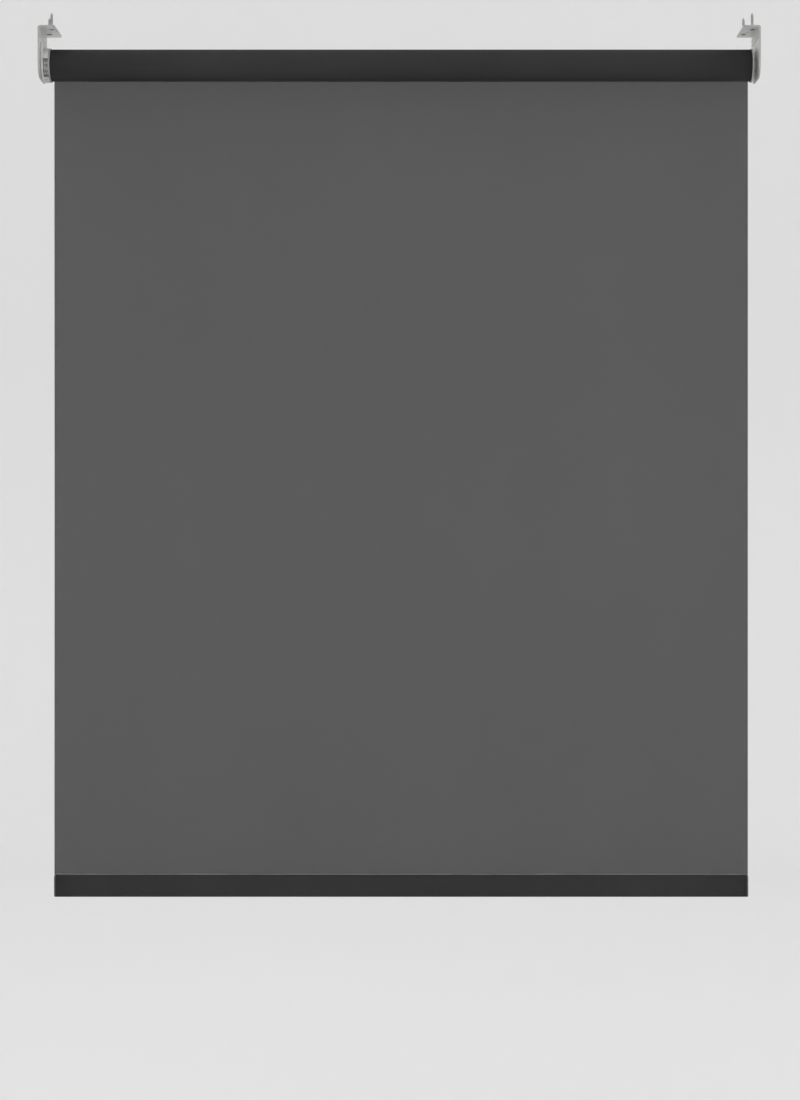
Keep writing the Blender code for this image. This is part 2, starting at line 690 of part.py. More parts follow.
def roller_tube():
    """Extruded tube with an inward channel, open through a slot, that holds the fixing cord."""
    ring = [
        (FABRIC_LEFT, TUBE_RADIUS - TUBE_WALL),
        (FABRIC_LEFT, TUBE_RADIUS),
        (FABRIC_RIGHT, TUBE_RADIUS),
        (FABRIC_RIGHT, TUBE_RADIUS - TUBE_WALL),
    ]
    tube = add("roller_tube", turned(ring), tube_aluminium(), AXIS)
    centre = (0, CHANNEL_CENTRE)
    channel = prism(arc(centre, CHANNEL_RADIUS, 0, 345, 23), FABRIC_LEFT, FABRIC_RIGHT)
    join(tube, "roller_tube.channel", channel, AXIS)
    ends = (FABRIC_LEFT - OVERCUT, FABRIC_RIGHT + OVERCUT)
    chamber = prism(arc(centre, CHAMBER_RADIUS, 0, 337.5, 15), *ends)
    cut(tube, "roller_tube.chamber", chamber, AXIS)
    slot = block(
        (FABRIC_LEFT - OVERCUT, -CHANNEL_SLOT / 2, CHANNEL_CENTRE),
        (FABRIC_RIGHT + OVERCUT, CHANNEL_SLOT / 2, TUBE_RADIUS + OVERCUT),
    )
    cut(tube, "roller_tube.slot", slot, AXIS)


def fixing_cord():
    """Round cord that locks the fabric's edge in the tube's channel."""
    radius = CHAMBER_RADIUS - GAP
    profile = [(FABRIC_LEFT, 0), (FABRIC_LEFT, radius), (FABRIC_RIGHT, radius), (FABRIC_RIGHT, 0)]
    place = AXIS + Vector((0, 0, CHANNEL_CENTRE))
    add("fixing_cord", turned(profile, 12), inner_black(), place)


def fabric_roll():
    """The wraps of fabric that stay on the tube."""
    inner = TUBE_RADIUS + GAP
    profile = [
        (FABRIC_LEFT, inner),
        (FABRIC_LEFT, ROLL_RADIUS),
        (FABRIC_RIGHT, ROLL_RADIUS),
        (FABRIC_RIGHT, inner),
    ]
    add("fabric_roll", turned(profile), charcoal_fabric(), AXIS)


# ---- idle end ---------------------------------------------------------------------------------------
def idle_plug():
    """Flanged plug in the tube with a chamber for the sprung pin."""
    shoulder = FABRIC_RIGHT + GAP
    bore = PIN_RADIUS + GAP
    profile = [
        (PLUG_START, CHAMBER_BORE),
        (PLUG_START, ADAPTER_RADIUS),
        (shoulder, ADAPTER_RADIUS),
        (shoulder, FLANGE_RADIUS),
        (PLUG_FACE, FLANGE_RADIUS),
        (PLUG_FACE, bore),
        (CHAMBER_END, bore),
        (CHAMBER_END, CHAMBER_BORE),
    ]
    plug = add("idle_plug", turned(profile), guard_grey(), AXIS)
    channel_notch(plug, "idle_plug", PLUG_START - OVERCUT, FABRIC_RIGHT)


def idle_stop():
    """Disc that closes the plug's chamber behind the spring."""
    radius = CHAMBER_BORE - GAP
    profile = [(PLUG_START, 0), (PLUG_START, radius), (STOP_INNER, radius), (STOP_INNER, 0)]
    add("idle_stop", turned(profile, 24), inner_black(), AXIS)


def idle_pin():
    """Sprung steel pin: tip in the bracket's socket, collar and tail in the plug."""
    tip = RIGHT_OUTER - PIN_TIP_SETBACK
    collar_outer = COLLAR_INNER + PIN_COLLAR
    profile = [
        (COLLAR_INNER - PIN_TAIL_LENGTH, 0),
        (COLLAR_INNER - PIN_TAIL_LENGTH, PIN_TAIL_RADIUS),
        (COLLAR_INNER, PIN_TAIL_RADIUS),
        (COLLAR_INNER, CHAMBER_BORE - GAP),
        (collar_outer, CHAMBER_BORE - GAP),
        (collar_outer, PIN_RADIUS),
        (tip - PIN_RADIUS / 4, PIN_RADIUS),
        (tip, PIN_RADIUS * 3 / 4),
        (tip, 0),
    ]
    add("idle_pin", turned(profile, 20), screw_steel(), AXIS)


def idle_spring():
    """Pushes the pin out against the plug's front wall."""
    start = STOP_INNER + GAP
    length = COLLAR_INNER - GAP - start
    pitch = (length - IDLE_WIRE) / IDLE_TURNS
    radius = (PIN_TAIL_RADIUS + CHAMBER_BORE) / 2
    spring("idle_spring", start, IDLE_WIRE, radius, pitch, IDLE_TURNS, spring_steel(), AXIS)


def idle_socket():
    """Plain bush seated in the idle bracket, in which the pin turns."""
    outer = RIGHT_OUTER - GAP
    profile = [
        (SOCKET_SEAT - SOCKET_THICKNESS, SOCKET_BORE),
        (SOCKET_SEAT - SOCKET_THICKNESS, SOCKET_RADIUS),
        (SOCKET_SEAT, SOCKET_RADIUS),
        (SOCKET_SEAT, SOCKET_SPIGOT),
        (outer, SOCKET_SPIGOT),
        (outer, SOCKET_BORE),
    ]
    add("idle_socket", turned(profile, 24), inner_black(), AXIS)


# ---- hanging fabric and hem bar -----------------------------------------------------------------------
def fabric_drop():
    """Flat fabric from the back of the roll down to the hem pocket."""
    low = (FABRIC_LEFT, DROP_FRONT, HEM_TOP + GAP)
    high = (FABRIC_RIGHT, DROP_FRONT + FABRIC_THICKNESS, -AXIS_DROP)
    add("fabric_drop", block(low, high), charcoal_fabric())


def hollow_oval(name, height, thickness, wall, start, end, look):
    """A flat-sided oval tube along X, centred under the hanging fabric."""
    place = Vector((0, DROP_MIDDLE, HEM_TOP - HEM_HEIGHT / 2))
    shell = add(name, prism(oval(height, thickness, (0, 0)), start, end), look, place)
    core = prism(oval(height - 2 * wall, thickness - 2 * wall, (0, 0)), start - OVERCUT, end + OVERCUT)
    cut(shell, f"{name}.hollow", core, place)


def hem_pocket():
    """Fabric wrapped and welded round the hem bar."""
    hollow_oval("hem_pocket", HEM_HEIGHT, HEM_THICKNESS, FABRIC_THICKNESS, BAR_LEFT, BAR_RIGHT,
                charcoal_fabric())


def bar_height():
    return HEM_HEIGHT - 2 * (FABRIC_THICKNESS + GAP)


def hem_bar():
    """Hollow aluminium bar that weighs the fabric down."""
    hollow_oval("hem_bar", bar_height(), BAR_THICKNESS, BAR_WALL, BAR_LEFT, BAR_RIGHT,
                tube_aluminium())


def bar_cap(name, outer, inner_way):
    """End plate over the pocket's mouth with a plug inside the bar."""
    place = Vector((0, DROP_MIDDLE, HEM_TOP - HEM_HEIGHT / 2))
    inner = outer + inner_way * CAP_PLATE
    plate = prism(oval(HEM_HEIGHT, HEM_THICKNESS, (0, 0)), outer, inner)
    cap = add(name, plate, cap_charcoal(), place)
    slack = 2 * (BAR_WALL + GAP)
    plug = prism(
        oval(bar_height() - slack, BAR_THICKNESS - slack, (0, 0)),
        inner - inner_way * CAP_PLATE / 2,
        inner + inner_way * CAP_PLUG_LENGTH,
    )
    join(cap, f"{name}.plug", plug, place)


def main():
    clear_scene()
    brackets()
    winder_guard()
    clutch_spindle()
    bead_sprocket()
    wrap_springs()
    clutch_retainer()
    clutch_screw()
    drive_hub()
    tube_adapter()
    roller_tube()
    fixing_cord()
    fabric_roll()
    idle_plug()
    idle_stop()
    idle_pin()
    idle_spring()
    idle_socket()
    fabric_drop()
    hem_pocket()
    hem_bar()
    bar_cap("bar_cap_left", FABRIC_LEFT, 1)
    bar_cap("bar_cap_right", FABRIC_RIGHT, -1)


main()
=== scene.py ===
"""Charcoal roller blind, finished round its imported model.

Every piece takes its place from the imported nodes: +X runs along the roller to the idle end, +Y goes
back to the window, +Z is up, and the origin lies on the ceiling midway between the brackets.
"""
import math

import bmesh
import bpy
from mathutils import Matrix, Vector


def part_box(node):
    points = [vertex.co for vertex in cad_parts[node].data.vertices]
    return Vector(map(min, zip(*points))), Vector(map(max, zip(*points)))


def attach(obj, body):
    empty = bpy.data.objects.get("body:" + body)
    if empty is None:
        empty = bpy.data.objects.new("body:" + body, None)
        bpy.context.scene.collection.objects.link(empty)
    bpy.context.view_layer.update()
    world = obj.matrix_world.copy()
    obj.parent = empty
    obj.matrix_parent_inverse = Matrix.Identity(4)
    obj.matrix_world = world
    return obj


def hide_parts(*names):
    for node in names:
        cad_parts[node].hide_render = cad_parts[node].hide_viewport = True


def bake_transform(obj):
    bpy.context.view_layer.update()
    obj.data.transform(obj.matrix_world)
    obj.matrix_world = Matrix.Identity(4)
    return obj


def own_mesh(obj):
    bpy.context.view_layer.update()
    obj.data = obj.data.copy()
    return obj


bl_info = {
    "name": "Roller Blind Finisher",
    "version": (1, 0, 0),
    "blender": (4, 5, 0),
    "location": "3D View > Sidebar > Blind",
    "description": "Builds the finished pieces of a ceiling-fixed roller blind round its packed model",
    "category": "Object",
}

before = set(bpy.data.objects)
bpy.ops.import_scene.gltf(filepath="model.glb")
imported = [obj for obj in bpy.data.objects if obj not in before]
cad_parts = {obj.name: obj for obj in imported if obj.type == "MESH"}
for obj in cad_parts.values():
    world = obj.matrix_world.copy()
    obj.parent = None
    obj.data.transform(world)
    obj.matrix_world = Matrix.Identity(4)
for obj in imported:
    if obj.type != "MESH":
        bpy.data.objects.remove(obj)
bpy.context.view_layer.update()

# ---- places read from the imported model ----
ROLL_LOW, ROLL_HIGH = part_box("fabric_roll")
DROP_LOW, DROP_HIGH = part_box("fabric_drop")
POCKET_LOW, POCKET_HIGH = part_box("hem_pocket")
BAR_LOW, BAR_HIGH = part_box("hem_bar")
TUBE_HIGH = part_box("roller_tube")[1]
GUARD_LOW, GUARD_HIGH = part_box("winder_guard")
WHEEL_LOW, WHEEL_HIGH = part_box("bead_sprocket")
SOCKET_LOW, SOCKET_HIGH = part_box("idle_socket")
PLUG_LOW, PLUG_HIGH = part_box("idle_plug")
ADAPTER_LOW, ADAPTER_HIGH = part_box("tube_adapter")
PIN_LOW, PIN_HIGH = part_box("idle_pin")
COIL_LOW, COIL_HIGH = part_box("idle_spring")

ORIGIN = Vector((0, 0, 0))
AXIS = Vector((0, 0, (ROLL_LOW.z + ROLL_HIGH.z) / 2))
ROLL_RADIUS = (ROLL_HIGH.z - ROLL_LOW.z) / 2
TUBE_RADIUS = TUBE_HIGH.z - AXIS.z
FLANGE_RADIUS = ADAPTER_HIGH.z - AXIS.z
POCKET_MIDDLE = (POCKET_LOW + POCKET_HIGH) / 2
WRAP_TOP = POCKET_HIGH.z - 0.0004

# ---- fixed sizes of the hardware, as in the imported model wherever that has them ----
GAP = 0.0003
OVERCUT = 0.001
SAME_PLACE = 1e-7
TRACK_SLOPE = 0.0004

PLATE = 0.0022
BEND = 0.003
FOOT_CORNER = 0.004
CHEEK_CORNER = 0.018
BEAD_DROPS = (0.0075, 0.0135)
BEAD_RADIUS = 0.0013
BEAD_SINK = 0.0004
BEAD_MARGIN = 0.002
EYE_RADIUS = 0.0055
GROOVE_EDGE = 0.0013
GROOVE_WIDTH = 0.0009
GROOVE_LENGTH = 0.026
GROOVE_DEPTH = 0.0006

SCREW_PLACES = (("inner", 0.0152, -0.014), ("outer", 0.0082, 0.014))
SCREW_HEAD = 0.0036
SCREW_HEAD_HEIGHT = 0.0018
SCREW_SHANK = 0.0019
SCREW_HOLE = 0.0024
SCREW_POINT = 0.004
THREAD_PITCH = 0.0016
CROSS_ARM = 0.0019
CROSS_HALF = 0.000425
CROSS_DEPTH = 0.0013
PILOT_PLACE = 0.012
PILOT_HOLE = 0.0014

LUG_OFFSET = 0.013
LUG_WIDTH = 0.0024
LUG_HEIGHT = 0.008
GUARD_WALL = 0.0024
GUARD_CORNER = 0.003
GUARD_RECESS = (0.0110, 0.0167)
RECESS_DEPTH = 0.0005
RECESS_DRAFT = 0.0002
SHROUD_WALL = 0.0014
SHROUD_STEP = 0.0002
TAIL_RADIUS = 0.0085
DENT_STARTS = (-121, -79)
DENT_SPAN = 20
DENT_WIDTH = 0.0032
DENT_DEPTH = 0.0009

SPROCKET_WIDTH = 0.0058
SLEEVE_BORE = 0.0089
SLEEVE_RADIUS = 0.0102
BEAD_POCKETS = 16
POCKET_RADIUS = 0.0023
POCKET_SINK = 0.0006
CORD_GROOVE = (0.0012, 0.0012)
WHEEL_TRACK = (0.0118, 0.0150)
WHEEL_TRACK_DEPTH = 0.0005

FLANGE = 0.0016
CROWN_TRACK = (0.0172, 0.0200)
CROWN_TRACK_DEPTH = 0.0004
HUB_BORE = 0.0132
KEY_HALF = 0.0023
KEY_DEPTH = 0.0012
ADAPTER_RADIUS = 0.0174
LEAD_IN = 0.001
LEAD_IN_DEPTH = 0.0008
MOULD_ROUND = 0.00025
NOTCH_HALF = 0.0025
NOTCH_FLOOR = 0.0165

CHAMBER_BORE = 0.0062
PLUG_FACE = 0.003
PLUG_TRACK = (0.0088, 0.0200)
PLUG_TRACK_DEPTH = 0.0005
PIN_RADIUS = 0.003
PIN_TAIL = 0.010
PIN_COLLAR = 0.0037
IDLE_WIRE = 0.0008
IDLE_TURNS = 9
SOCKET_DISC = 0.0027

BAR_CAP = 0.0018
BAR_WALL = 0.0011
SLOT_DEPTH = 0.0026
PRESSED_RIB = 0.0011

GUARD_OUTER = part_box("bracket_left")[0].x + PLATE + GAP
GUARD_INNER = GUARD_OUTER + GUARD_WALL
WHEEL_INNER = WHEEL_LOW.x + SPROCKET_WIDTH


# ---- settings a user may change ----
def length(label, text, value):
    return bpy.props.FloatProperty(
        name=label, description=text, default=value, min=0, unit="LENGTH", precision=5
    )


def number(label, text, value, least=0.0, kind="NONE"):
    return bpy.props.FloatProperty(name=label, description=text, default=value, min=least, unit=kind)


def share(label, text, value):
    return bpy.props.FloatProperty(
        name=label, description=text, default=value, min=0, max=1, subtype="FACTOR"
    )


def colour(label, text, value):
    return bpy.props.FloatVectorProperty(
        name=label, description=text, default=value, size=3, min=0, max=1, subtype="COLOR"
    )


class BlindCloth(bpy.types.PropertyGroup):
    """Sizes and colours of the blind's fabric."""

    thickness: length("Fabric thickness", "Thickness of one layer of fabric", 0.00034)
    wrap_pitch: length("Wrap pitch", "How far the roll grows with each wrap", 0.00038)
    wraps: number("Wraps", "Turns that stay on the tube", 2.25, 1.0)
    thread: length("Thread pitch", "Distance between neighbouring threads", 0.00055)
    weld: length("Weld height", "Height of the welded seam above the hem bar", 0.0014)
    ripple: length("Hang ripple", "Depth of the slow waves across the hanging fabric", 0.0006)
    see_through: share("See-through", "Share of light that passes straight through one face", 0.35)
    charcoal: colour("Charcoal", "Colour of the threads", (0.028, 0.028, 0.0284))
    # seam_sheen: the weld's colour, partly lighter welded fabric and partly painted highlight.
    seam_sheen: colour("Pressed seam", "Colour of the fabric where it is welded", (0.16, 0.16, 0.162))


class BlindHardware(bpy.types.PropertyGroup):
    """Sizes and colours of the brackets, winder and end fittings."""

    rounding: length("Edge rounding", "Radius of the broken edges", 0.0003)
    nickel: colour("Bracket finish", "Colour of the plated brackets", (0.68, 0.67, 0.65))
    zinc: colour("Screw finish", "Colour of the plated screws", (0.42, 0.42, 0.43))
    # Painted shade: the near-black colour given to the screw heads, standing in for the shade in their holes.
    head_shade: colour("Screw heads", "Colour of the blackened screw heads", (0.07, 0.07, 0.072))
    grey: colour("Light grey plastic", "Colour of the winder guard", (0.44, 0.44, 0.43))
    flange: colour("Mid grey plastic", "Colour of the end flanges", (0.26, 0.26, 0.26))
    wheel: colour("Wheel plastic", "Colour of the bead wheel", (0.30, 0.30, 0.30))
    black: colour("Black plastic", "Colour of the inner clutch pieces", (0.028, 0.028, 0.030))
    cap: colour("Cap plastic", "Colour of the hem bar's end caps", (0.052, 0.052, 0.054))
    aluminium: colour("Aluminium", "Colour of the tube and the hem bar", (0.72, 0.72, 0.74))
    spring: colour("Spring steel", "Colour of the springs", (0.45, 0.45, 0.47))


class BlindStage(bpy.types.PropertyGroup):
    """Camera, lights and surroundings."""

    camera_place: bpy.props.FloatVectorProperty(
        name="Camera place", description="Where the camera stands", default=(0.00095, -2.963, -0.6643),
        size=3, subtype="TRANSLATION", unit="LENGTH",
    )
    lens: number("Lens", "Focal length in millimetres", 75.83, 1.0)
    floor_drop: length("Floor", "Ceiling down to the studio floor", 1.75)
    bowl: length("Studio radius", "Radius of the round studio wall", 7.0)
    wall: length("Studio wall", "Height of the studio wall above the floor", 6.0)
    pale: colour("Studio colour", "Colour of the floor and wall", (0.86, 0.86, 0.86))
    ambient: number("Ambient", "Strength of the even light", 0.95)
    key: number("Key light", "Power of the large front light", 25.0, kind="POWER")


class BlindSettings(bpy.types.PropertyGroup):
    """Everything that the panel shows."""

    cloth: bpy.props.PointerProperty(type=BlindCloth)
    hardware: bpy.props.PointerProperty(type=BlindHardware)
    stage: bpy.props.PointerProperty(type=BlindStage)


# ---- shader nodes ----
class Graph:
    """Short calls that add shader nodes to one tree and join them."""

    def __init__(self, tree):
        self.tree = tree

    def add(self, kind, feeds=None, **settings):
        node = self.tree.nodes.new(kind)
        for key, value in settings.items():
            setattr(node, key, value)
        for key, value in (feeds or {}).items():
            if isinstance(value, bpy.types.NodeSocket):
                self.tree.links.new(value, node.inputs[key])
            else:
                node.inputs[key].default_value = value
        return node

    def math(self, operation, first, second=0.5, clamp=False):
        feeds = {0: first, 1: second}
        return self.add("ShaderNodeMath", feeds, operation=operation, use_clamp=clamp).outputs[0]

    def ribs(self, value):
        """Rounded ribs, one to each whole number."""
        return self.math("ABSOLUTE", self.math("SINE", self.math("MULTIPLY", value, math.pi)))

    def spread(self, value, low, high, to_low=0.0, to_high=1.0):
        feeds = {0: value, 1: low, 2: high, 3: to_low, 4: to_high}
        return self.add("ShaderNodeMapRange", feeds, clamp=True).outputs[0]

    def mix(self, factor, first, second):
        return self.add("ShaderNodeMix", {0: factor, 6: first, 7: second}, data_type="RGBA").outputs[2]

    def stretched(self, vector, scale):
        return self.add("ShaderNodeMapping", {"Vector": vector, "Scale": scale}).outputs[0]

    def noise(self, vector, scale, detail=3.0, roughness=0.55):
        feeds = {"Vector": vector, "Scale": scale, "Detail": detail, "Roughness": roughness}
        return self.add("ShaderNodeTexNoise", feeds).outputs[0]

    def parts(self, vector):
        return self.add("ShaderNodeSeparateXYZ", {0: vector}).outputs

    def vector(self, x, y, z=0.0):
        return self.add("ShaderNodeCombineXYZ", {0: x, 1: y, 2: z}).outputs[0]

    def objects_place(self):
        return self.add("ShaderNodeTexCoord").outputs["Object"]

    def facing(self):
        """Which way the surface faces, in the object's own axes."""
        return self.add("ShaderNodeTexCoord").outputs["Normal"]

    def group(self, name, **feeds):
        placed = self.add("ShaderNodeGroup", node_tree=effect_tree(name))
        for key, value in feeds.items():
            socket = placed.inputs[key.replace("_", " ")]
            if isinstance(value, bpy.types.NodeSocket):
                self.tree.links.new(value, socket)
            else:
                socket.default_value = value
        return placed.outputs

    def bump(self, height, strength, distance):
        feeds = {"Height": height, "Strength": strength, "Distance": distance}
        return self.add("ShaderNodeBump", feeds).outputs[0]


# ---- effects that the materials share ----
EFFECTS = {}
PLACE = ("Place", "NodeSocketVector", None)
DUST_COLOUR = (0.42, 0.41, 0.39, 1)


def effect(name, *inputs):
    """Keep the function that fills an effect's graph; each input is a name, a socket type and a default."""

    def keep(fill):
        EFFECTS[name] = (inputs, fill)
        return fill

    return keep


def effect_tree(name):
    """The node group of one effect, built when a material first asks for it."""
    if name in bpy.data.node_groups:
        return bpy.data.node_groups[name]
    inputs, fill = EFFECTS[name]
    tree = bpy.data.node_groups.new(name, "ShaderNodeTree")
    for label, kind, value in inputs:
        socket = tree.interface.new_socket(name=label, in_out="INPUT", socket_type=kind)
        if value is not None:
            socket.default_value = value
    graph = Graph(tree)
    made = fill(graph, graph.add("NodeGroupInput").outputs)
    for label in made:
        tree.interface.new_socket(name=label, in_out="OUTPUT", socket_type="NodeSocketFloat")
    output = graph.add("NodeGroupOutput")
    for label, value in made.items():
        tree.links.new(value, output.inputs[label])
    return tree


@effect("Woven Threads", PLACE, ("Pitch", "NodeSocketFloat", 0.0005))
def woven_threads(graph, given):
    """Plain weave: threads along and across that pass over each other, with pinholes at the corners."""
    across, along, _ = graph.parts(given["Place"])
    u = graph.math("DIVIDE", across, given["Pitch"])
    v = graph.math("DIVIDE", along, given["Pitch"])
    warp = graph.ribs(u)
    weft = graph.ribs(v)
    column = graph.math("FLOOR", u)
    row = graph.math("FLOOR", v)
    over = graph.math("PINGPONG", graph.math("ADD", column, row), 1.0)
    warp_top = graph.math("MULTIPLY", warp, graph.spread(weft, 0, 1, 0.55, 1.0))
    weft_top = graph.math("MULTIPLY", weft, graph.spread(warp, 0, 1, 0.55, 1.0))
    shown = graph.add("ShaderNodeMix", {0: over, 2: warp_top, 3: weft_top}, data_type="FLOAT").outputs[0]
    pinholes = graph.spread(graph.math("MAXIMUM", warp, weft), 0.35, 0.6, 1.0, 0.0)
    warp_place = graph.vector(column, graph.math("MULTIPLY", along, 12.0))
    weft_place = graph.vector(graph.math("MULTIPLY", across, 12.0), row)
    streaks = graph.math("ADD", graph.noise(warp_place, 0.9, 2), graph.noise(weft_place, 0.9, 2))
    return {"Height": shown, "Shade": graph.spread(streaks, 0.7, 1.3), "Pinholes": pinholes}


@effect("Brushed Lines", PLACE, ("Stretch", "NodeSocketVector", (20.0, 2500.0, 2500.0)))
def brushed_lines(graph, given):
    """Fine drawn or brushed lines, along the axis with the smallest stretch, and slow blotches."""
    feeds = {0: given["Place"], 1: given["Stretch"]}
    scaled = graph.add("ShaderNodeVectorMath", feeds, operation="MULTIPLY").outputs[0]
    return {"Lines": graph.noise(scaled, 1.0, 2), "Blotch": graph.noise(given["Place"], 60.0, 4)}


@effect("Edge Polish", PLACE, ("Reach", "NodeSocketFloat", 0.5))
def edge_polish(graph, given):
    """Mask of the outer edges, where handling rubs the finish bright."""
    point = graph.add("ShaderNodeNewGeometry").outputs["Pointiness"]
    edge = graph.spread(point, 0.505, 0.56)
    patchy = graph.spread(graph.noise(given["Place"], 220.0, 3), 0.35, 0.65, 0.4, 1.0)
    rubbed = graph.math("MULTIPLY", edge, patchy)
    return {"Mask": graph.math("MULTIPLY", rubbed, given["Reach"], clamp=True)}


@effect("Moulded Skin", PLACE, ("Grain", "NodeSocketFloat", 3500.0))
def moulded_skin(graph, given):
    """Fine pebble and slow mottling of moulded plastic."""
    pebble = graph.noise(given["Place"], given["Grain"], 2)
    return {"Pebble": pebble, "Mottle": graph.noise(given["Place"], 90.0, 4)}


@effect("Settled Dust", PLACE, ("Amount", "NodeSocketFloat", 0.2))
def settled_dust(graph, given):
    """Thin dust on what faces up."""
    facing = graph.spread(graph.parts(graph.facing())[2], 0.35, 0.95)
    speckle = graph.spread(graph.noise(given["Place"], 400.0, 5, 0.7), 0.35, 0.7)
    settled = graph.math("MULTIPLY", facing, speckle)
    return {"Mask": graph.math("MULTIPLY", settled, given["Amount"], clamp=True)}


@effect("Painted Rim Shade", PLACE)
def painted_rim_shade(graph, given):
    """Mask of painted shade on a bent bracket's rims: what faces along Y, and the cheek's lower rim."""
    facing = graph.parts(graph.facing())
    sideways = graph.spread(graph.math("ABSOLUTE", facing[1]), 0.4, 0.75)
    edgeways = graph.spread(graph.math("ABSOLUTE", facing[0]), 0.3, 0.6, 1.0, 0.0)
    low = graph.spread(graph.parts(given["Place"])[2], -0.012, -0.008, 1.0, 0.0)
    return {"Mask": graph.math("MAXIMUM", sideways, graph.math("MULTIPLY", edgeways, low))}


# ---- materials ----
def new_look(name):
    """A new material, its graph, its shader and the object's own coordinates."""
    look = bpy.data.materials.new(name)
    look.use_nodes = True
    graph = Graph(look.node_tree)
    shader = look.node_tree.nodes["Principled BSDF"]
    return look, graph, shader, graph.objects_place()


def feed(graph, shader, **values):
    for key, value in values.items():
        graph.tree.links.new(value, shader.inputs[key.replace("_", " ")])


def tone(value, by):
    return (*(min(1.0, part * by) for part in value), 1)


def cloth(name, cloth_settings, place, see_through):
    """Charcoal woven fabric; place says where the weave's across and along come from."""
    if name in bpy.data.materials:
        return bpy.data.materials[name]
    look, graph, shader, here = new_look(name)
    x, _, along = graph.parts(here)
    height = along
    if place == "wound":
        along = graph.add("ShaderNodeAttribute", attribute_name="along").outputs["Fac"]
    where = graph.vector(x, along)
    weave = graph.group("Woven Threads", Place=where, Pitch=cloth_settings.thread)
    slow = graph.spread(graph.noise(graph.stretched(where, (3.0, 1.2, 1.0)), 1.6, 3), 0.3, 0.7, 0.9, 1.1)
    base = cloth_settings.charcoal
    # Painted shade: the weave's low parts between threads are darker, its raised threads lighter.
    threads = graph.mix(weave["Height"], tone(base, 0.62), tone(base, 1.22))
    varied = graph.mix(graph.spread(weave["Shade"], 0, 1, 0.0, 0.5), threads, tone(base, 1.30))
    scaled = graph.add("ShaderNodeVectorMath", {0: varied, 3: slow}, operation="SCALE").outputs[0]
    rough = graph.spread(weave["Height"], 0, 1, 0.92, 0.78)
    feed(graph, shader, Base_Color=scaled, Roughness=rough,
         Normal=graph.bump(weave["Height"], 0.35, 0.00012))
    shader.inputs["Specular IOR Level"].default_value = 0.12
    if see_through:
        solid = graph.spread(weave["Pinholes"], 0, 1, 1 - 0.85 * see_through, 1 - 1.6 * see_through)
        # Painted shade: towards the roll the fabric turns opaque, so less light shows through just below the
        # roll and the fabric looks darker there.
        roll_shade_opacity = graph.spread(height, AXIS.z - ROLL_RADIUS * 0.9, AXIS.z - ROLL_RADIUS * 0.2)
        feed(graph, shader, Alpha=graph.math("MAXIMUM", solid, roll_shade_opacity))
    return look


def pressed_seam(cloth_settings):
    """Welded fabric, lighter and smoother with the tool's fine ribs; its light colour is partly the weld's
    own and partly painted highlight, the sheen of light along the weld.
    """
    if "pressed_seam" in bpy.data.materials:
        return bpy.data.materials["pressed_seam"]
    look, graph, shader, here = new_look("pressed_seam")
    x, _, z = graph.parts(here)
    ribs = graph.ribs(graph.math("DIVIDE", graph.math("ADD", x, z), PRESSED_RIB))
    patch = graph.spread(graph.noise(graph.stretched(here, (12.0, 1.0, 1.0)), 3.0, 3), 0.3, 0.7)
    patchy_sheen = graph.mix(patch, tone(cloth_settings.seam_sheen, 0.78), tone(cloth_settings.seam_sheen, 1.18))
    shown = graph.mix(graph.spread(ribs, 0, 1, 0.0, 0.35), patchy_sheen, tone(cloth_settings.charcoal, 1.6))
    feed(graph, shader, Base_Color=shown, Roughness=graph.spread(patch, 0, 1, 0.62, 0.45),
         Normal=graph.bump(ribs, 0.4, 0.0001))
    shader.inputs["Specular IOR Level"].default_value = 0.4
    return look


def metal(name, base, roughness, stretch, polish=0.5, dust=0.15, bare=1.0, head=None, cut=1.0):
    """Plated or bare metal with drawn lines, rubbed edges and a little dust.

    A head is a darker colour and the height below which it is used; on the screws that head colour is painted
    shade of the holes they sit in. Plate rims that face along Y, and a cheek's lower rim, are painted cut
    times as bright as the plate's faces: painted shade.
    """
    if name in bpy.data.materials:
        return bpy.data.materials[name]
    look, graph, shader, here = new_look(name)
    lines = graph.group("Brushed Lines", Place=here, Stretch=stretch)
    rubbed = graph.group("Edge Polish", Place=here, Reach=polish)["Mask"]
    dusty = graph.group("Settled Dust", Place=here, Amount=dust)["Mask"]
    plain = graph.mix(lines["Blotch"], tone(base, 0.84), tone(base, 1.08))
    streaked = graph.mix(graph.spread(lines["Lines"], 0.3, 0.7, 0.0, 0.35), plain, tone(base, 0.72))
    # Painted shade: below the head's height the colour turns near black, standing in for the shade of the
    # holes the heads sit in.
    if head:
        below = graph.spread(graph.parts(here)[2], head[1], head[1] + 0.0004, 1.0, 0.0)
        streaked = graph.mix(below, streaked, tone(head[0], 1.0))
    # Painted shade: rims that face along Y and the cheek's lower rim are darkened to cut times the base
    # colour.
    if cut < 1:
        rim_shade_mask = graph.group("Painted Rim Shade", Place=here)["Mask"]
        streaked = graph.mix(rim_shade_mask, streaked, tone(base, cut))
    bright = graph.mix(rubbed, streaked, tone(base, 1.45))
    shown = graph.mix(dusty, bright, DUST_COLOUR)
    rough = graph.spread(lines["Blotch"], 0.3, 0.7, roughness * 0.8, roughness * 1.25)
    rougher = graph.math("ADD", rough, graph.math("MULTIPLY", dusty, 0.5), clamp=True)
    clean = graph.math("MULTIPLY", graph.math("SUBTRACT", 1.0, dusty, clamp=True), bare)
    feed(graph, shader, Base_Color=shown, Roughness=rougher, Metallic=clean,
         Normal=graph.bump(lines["Lines"], 0.12, 0.00005))
    return look


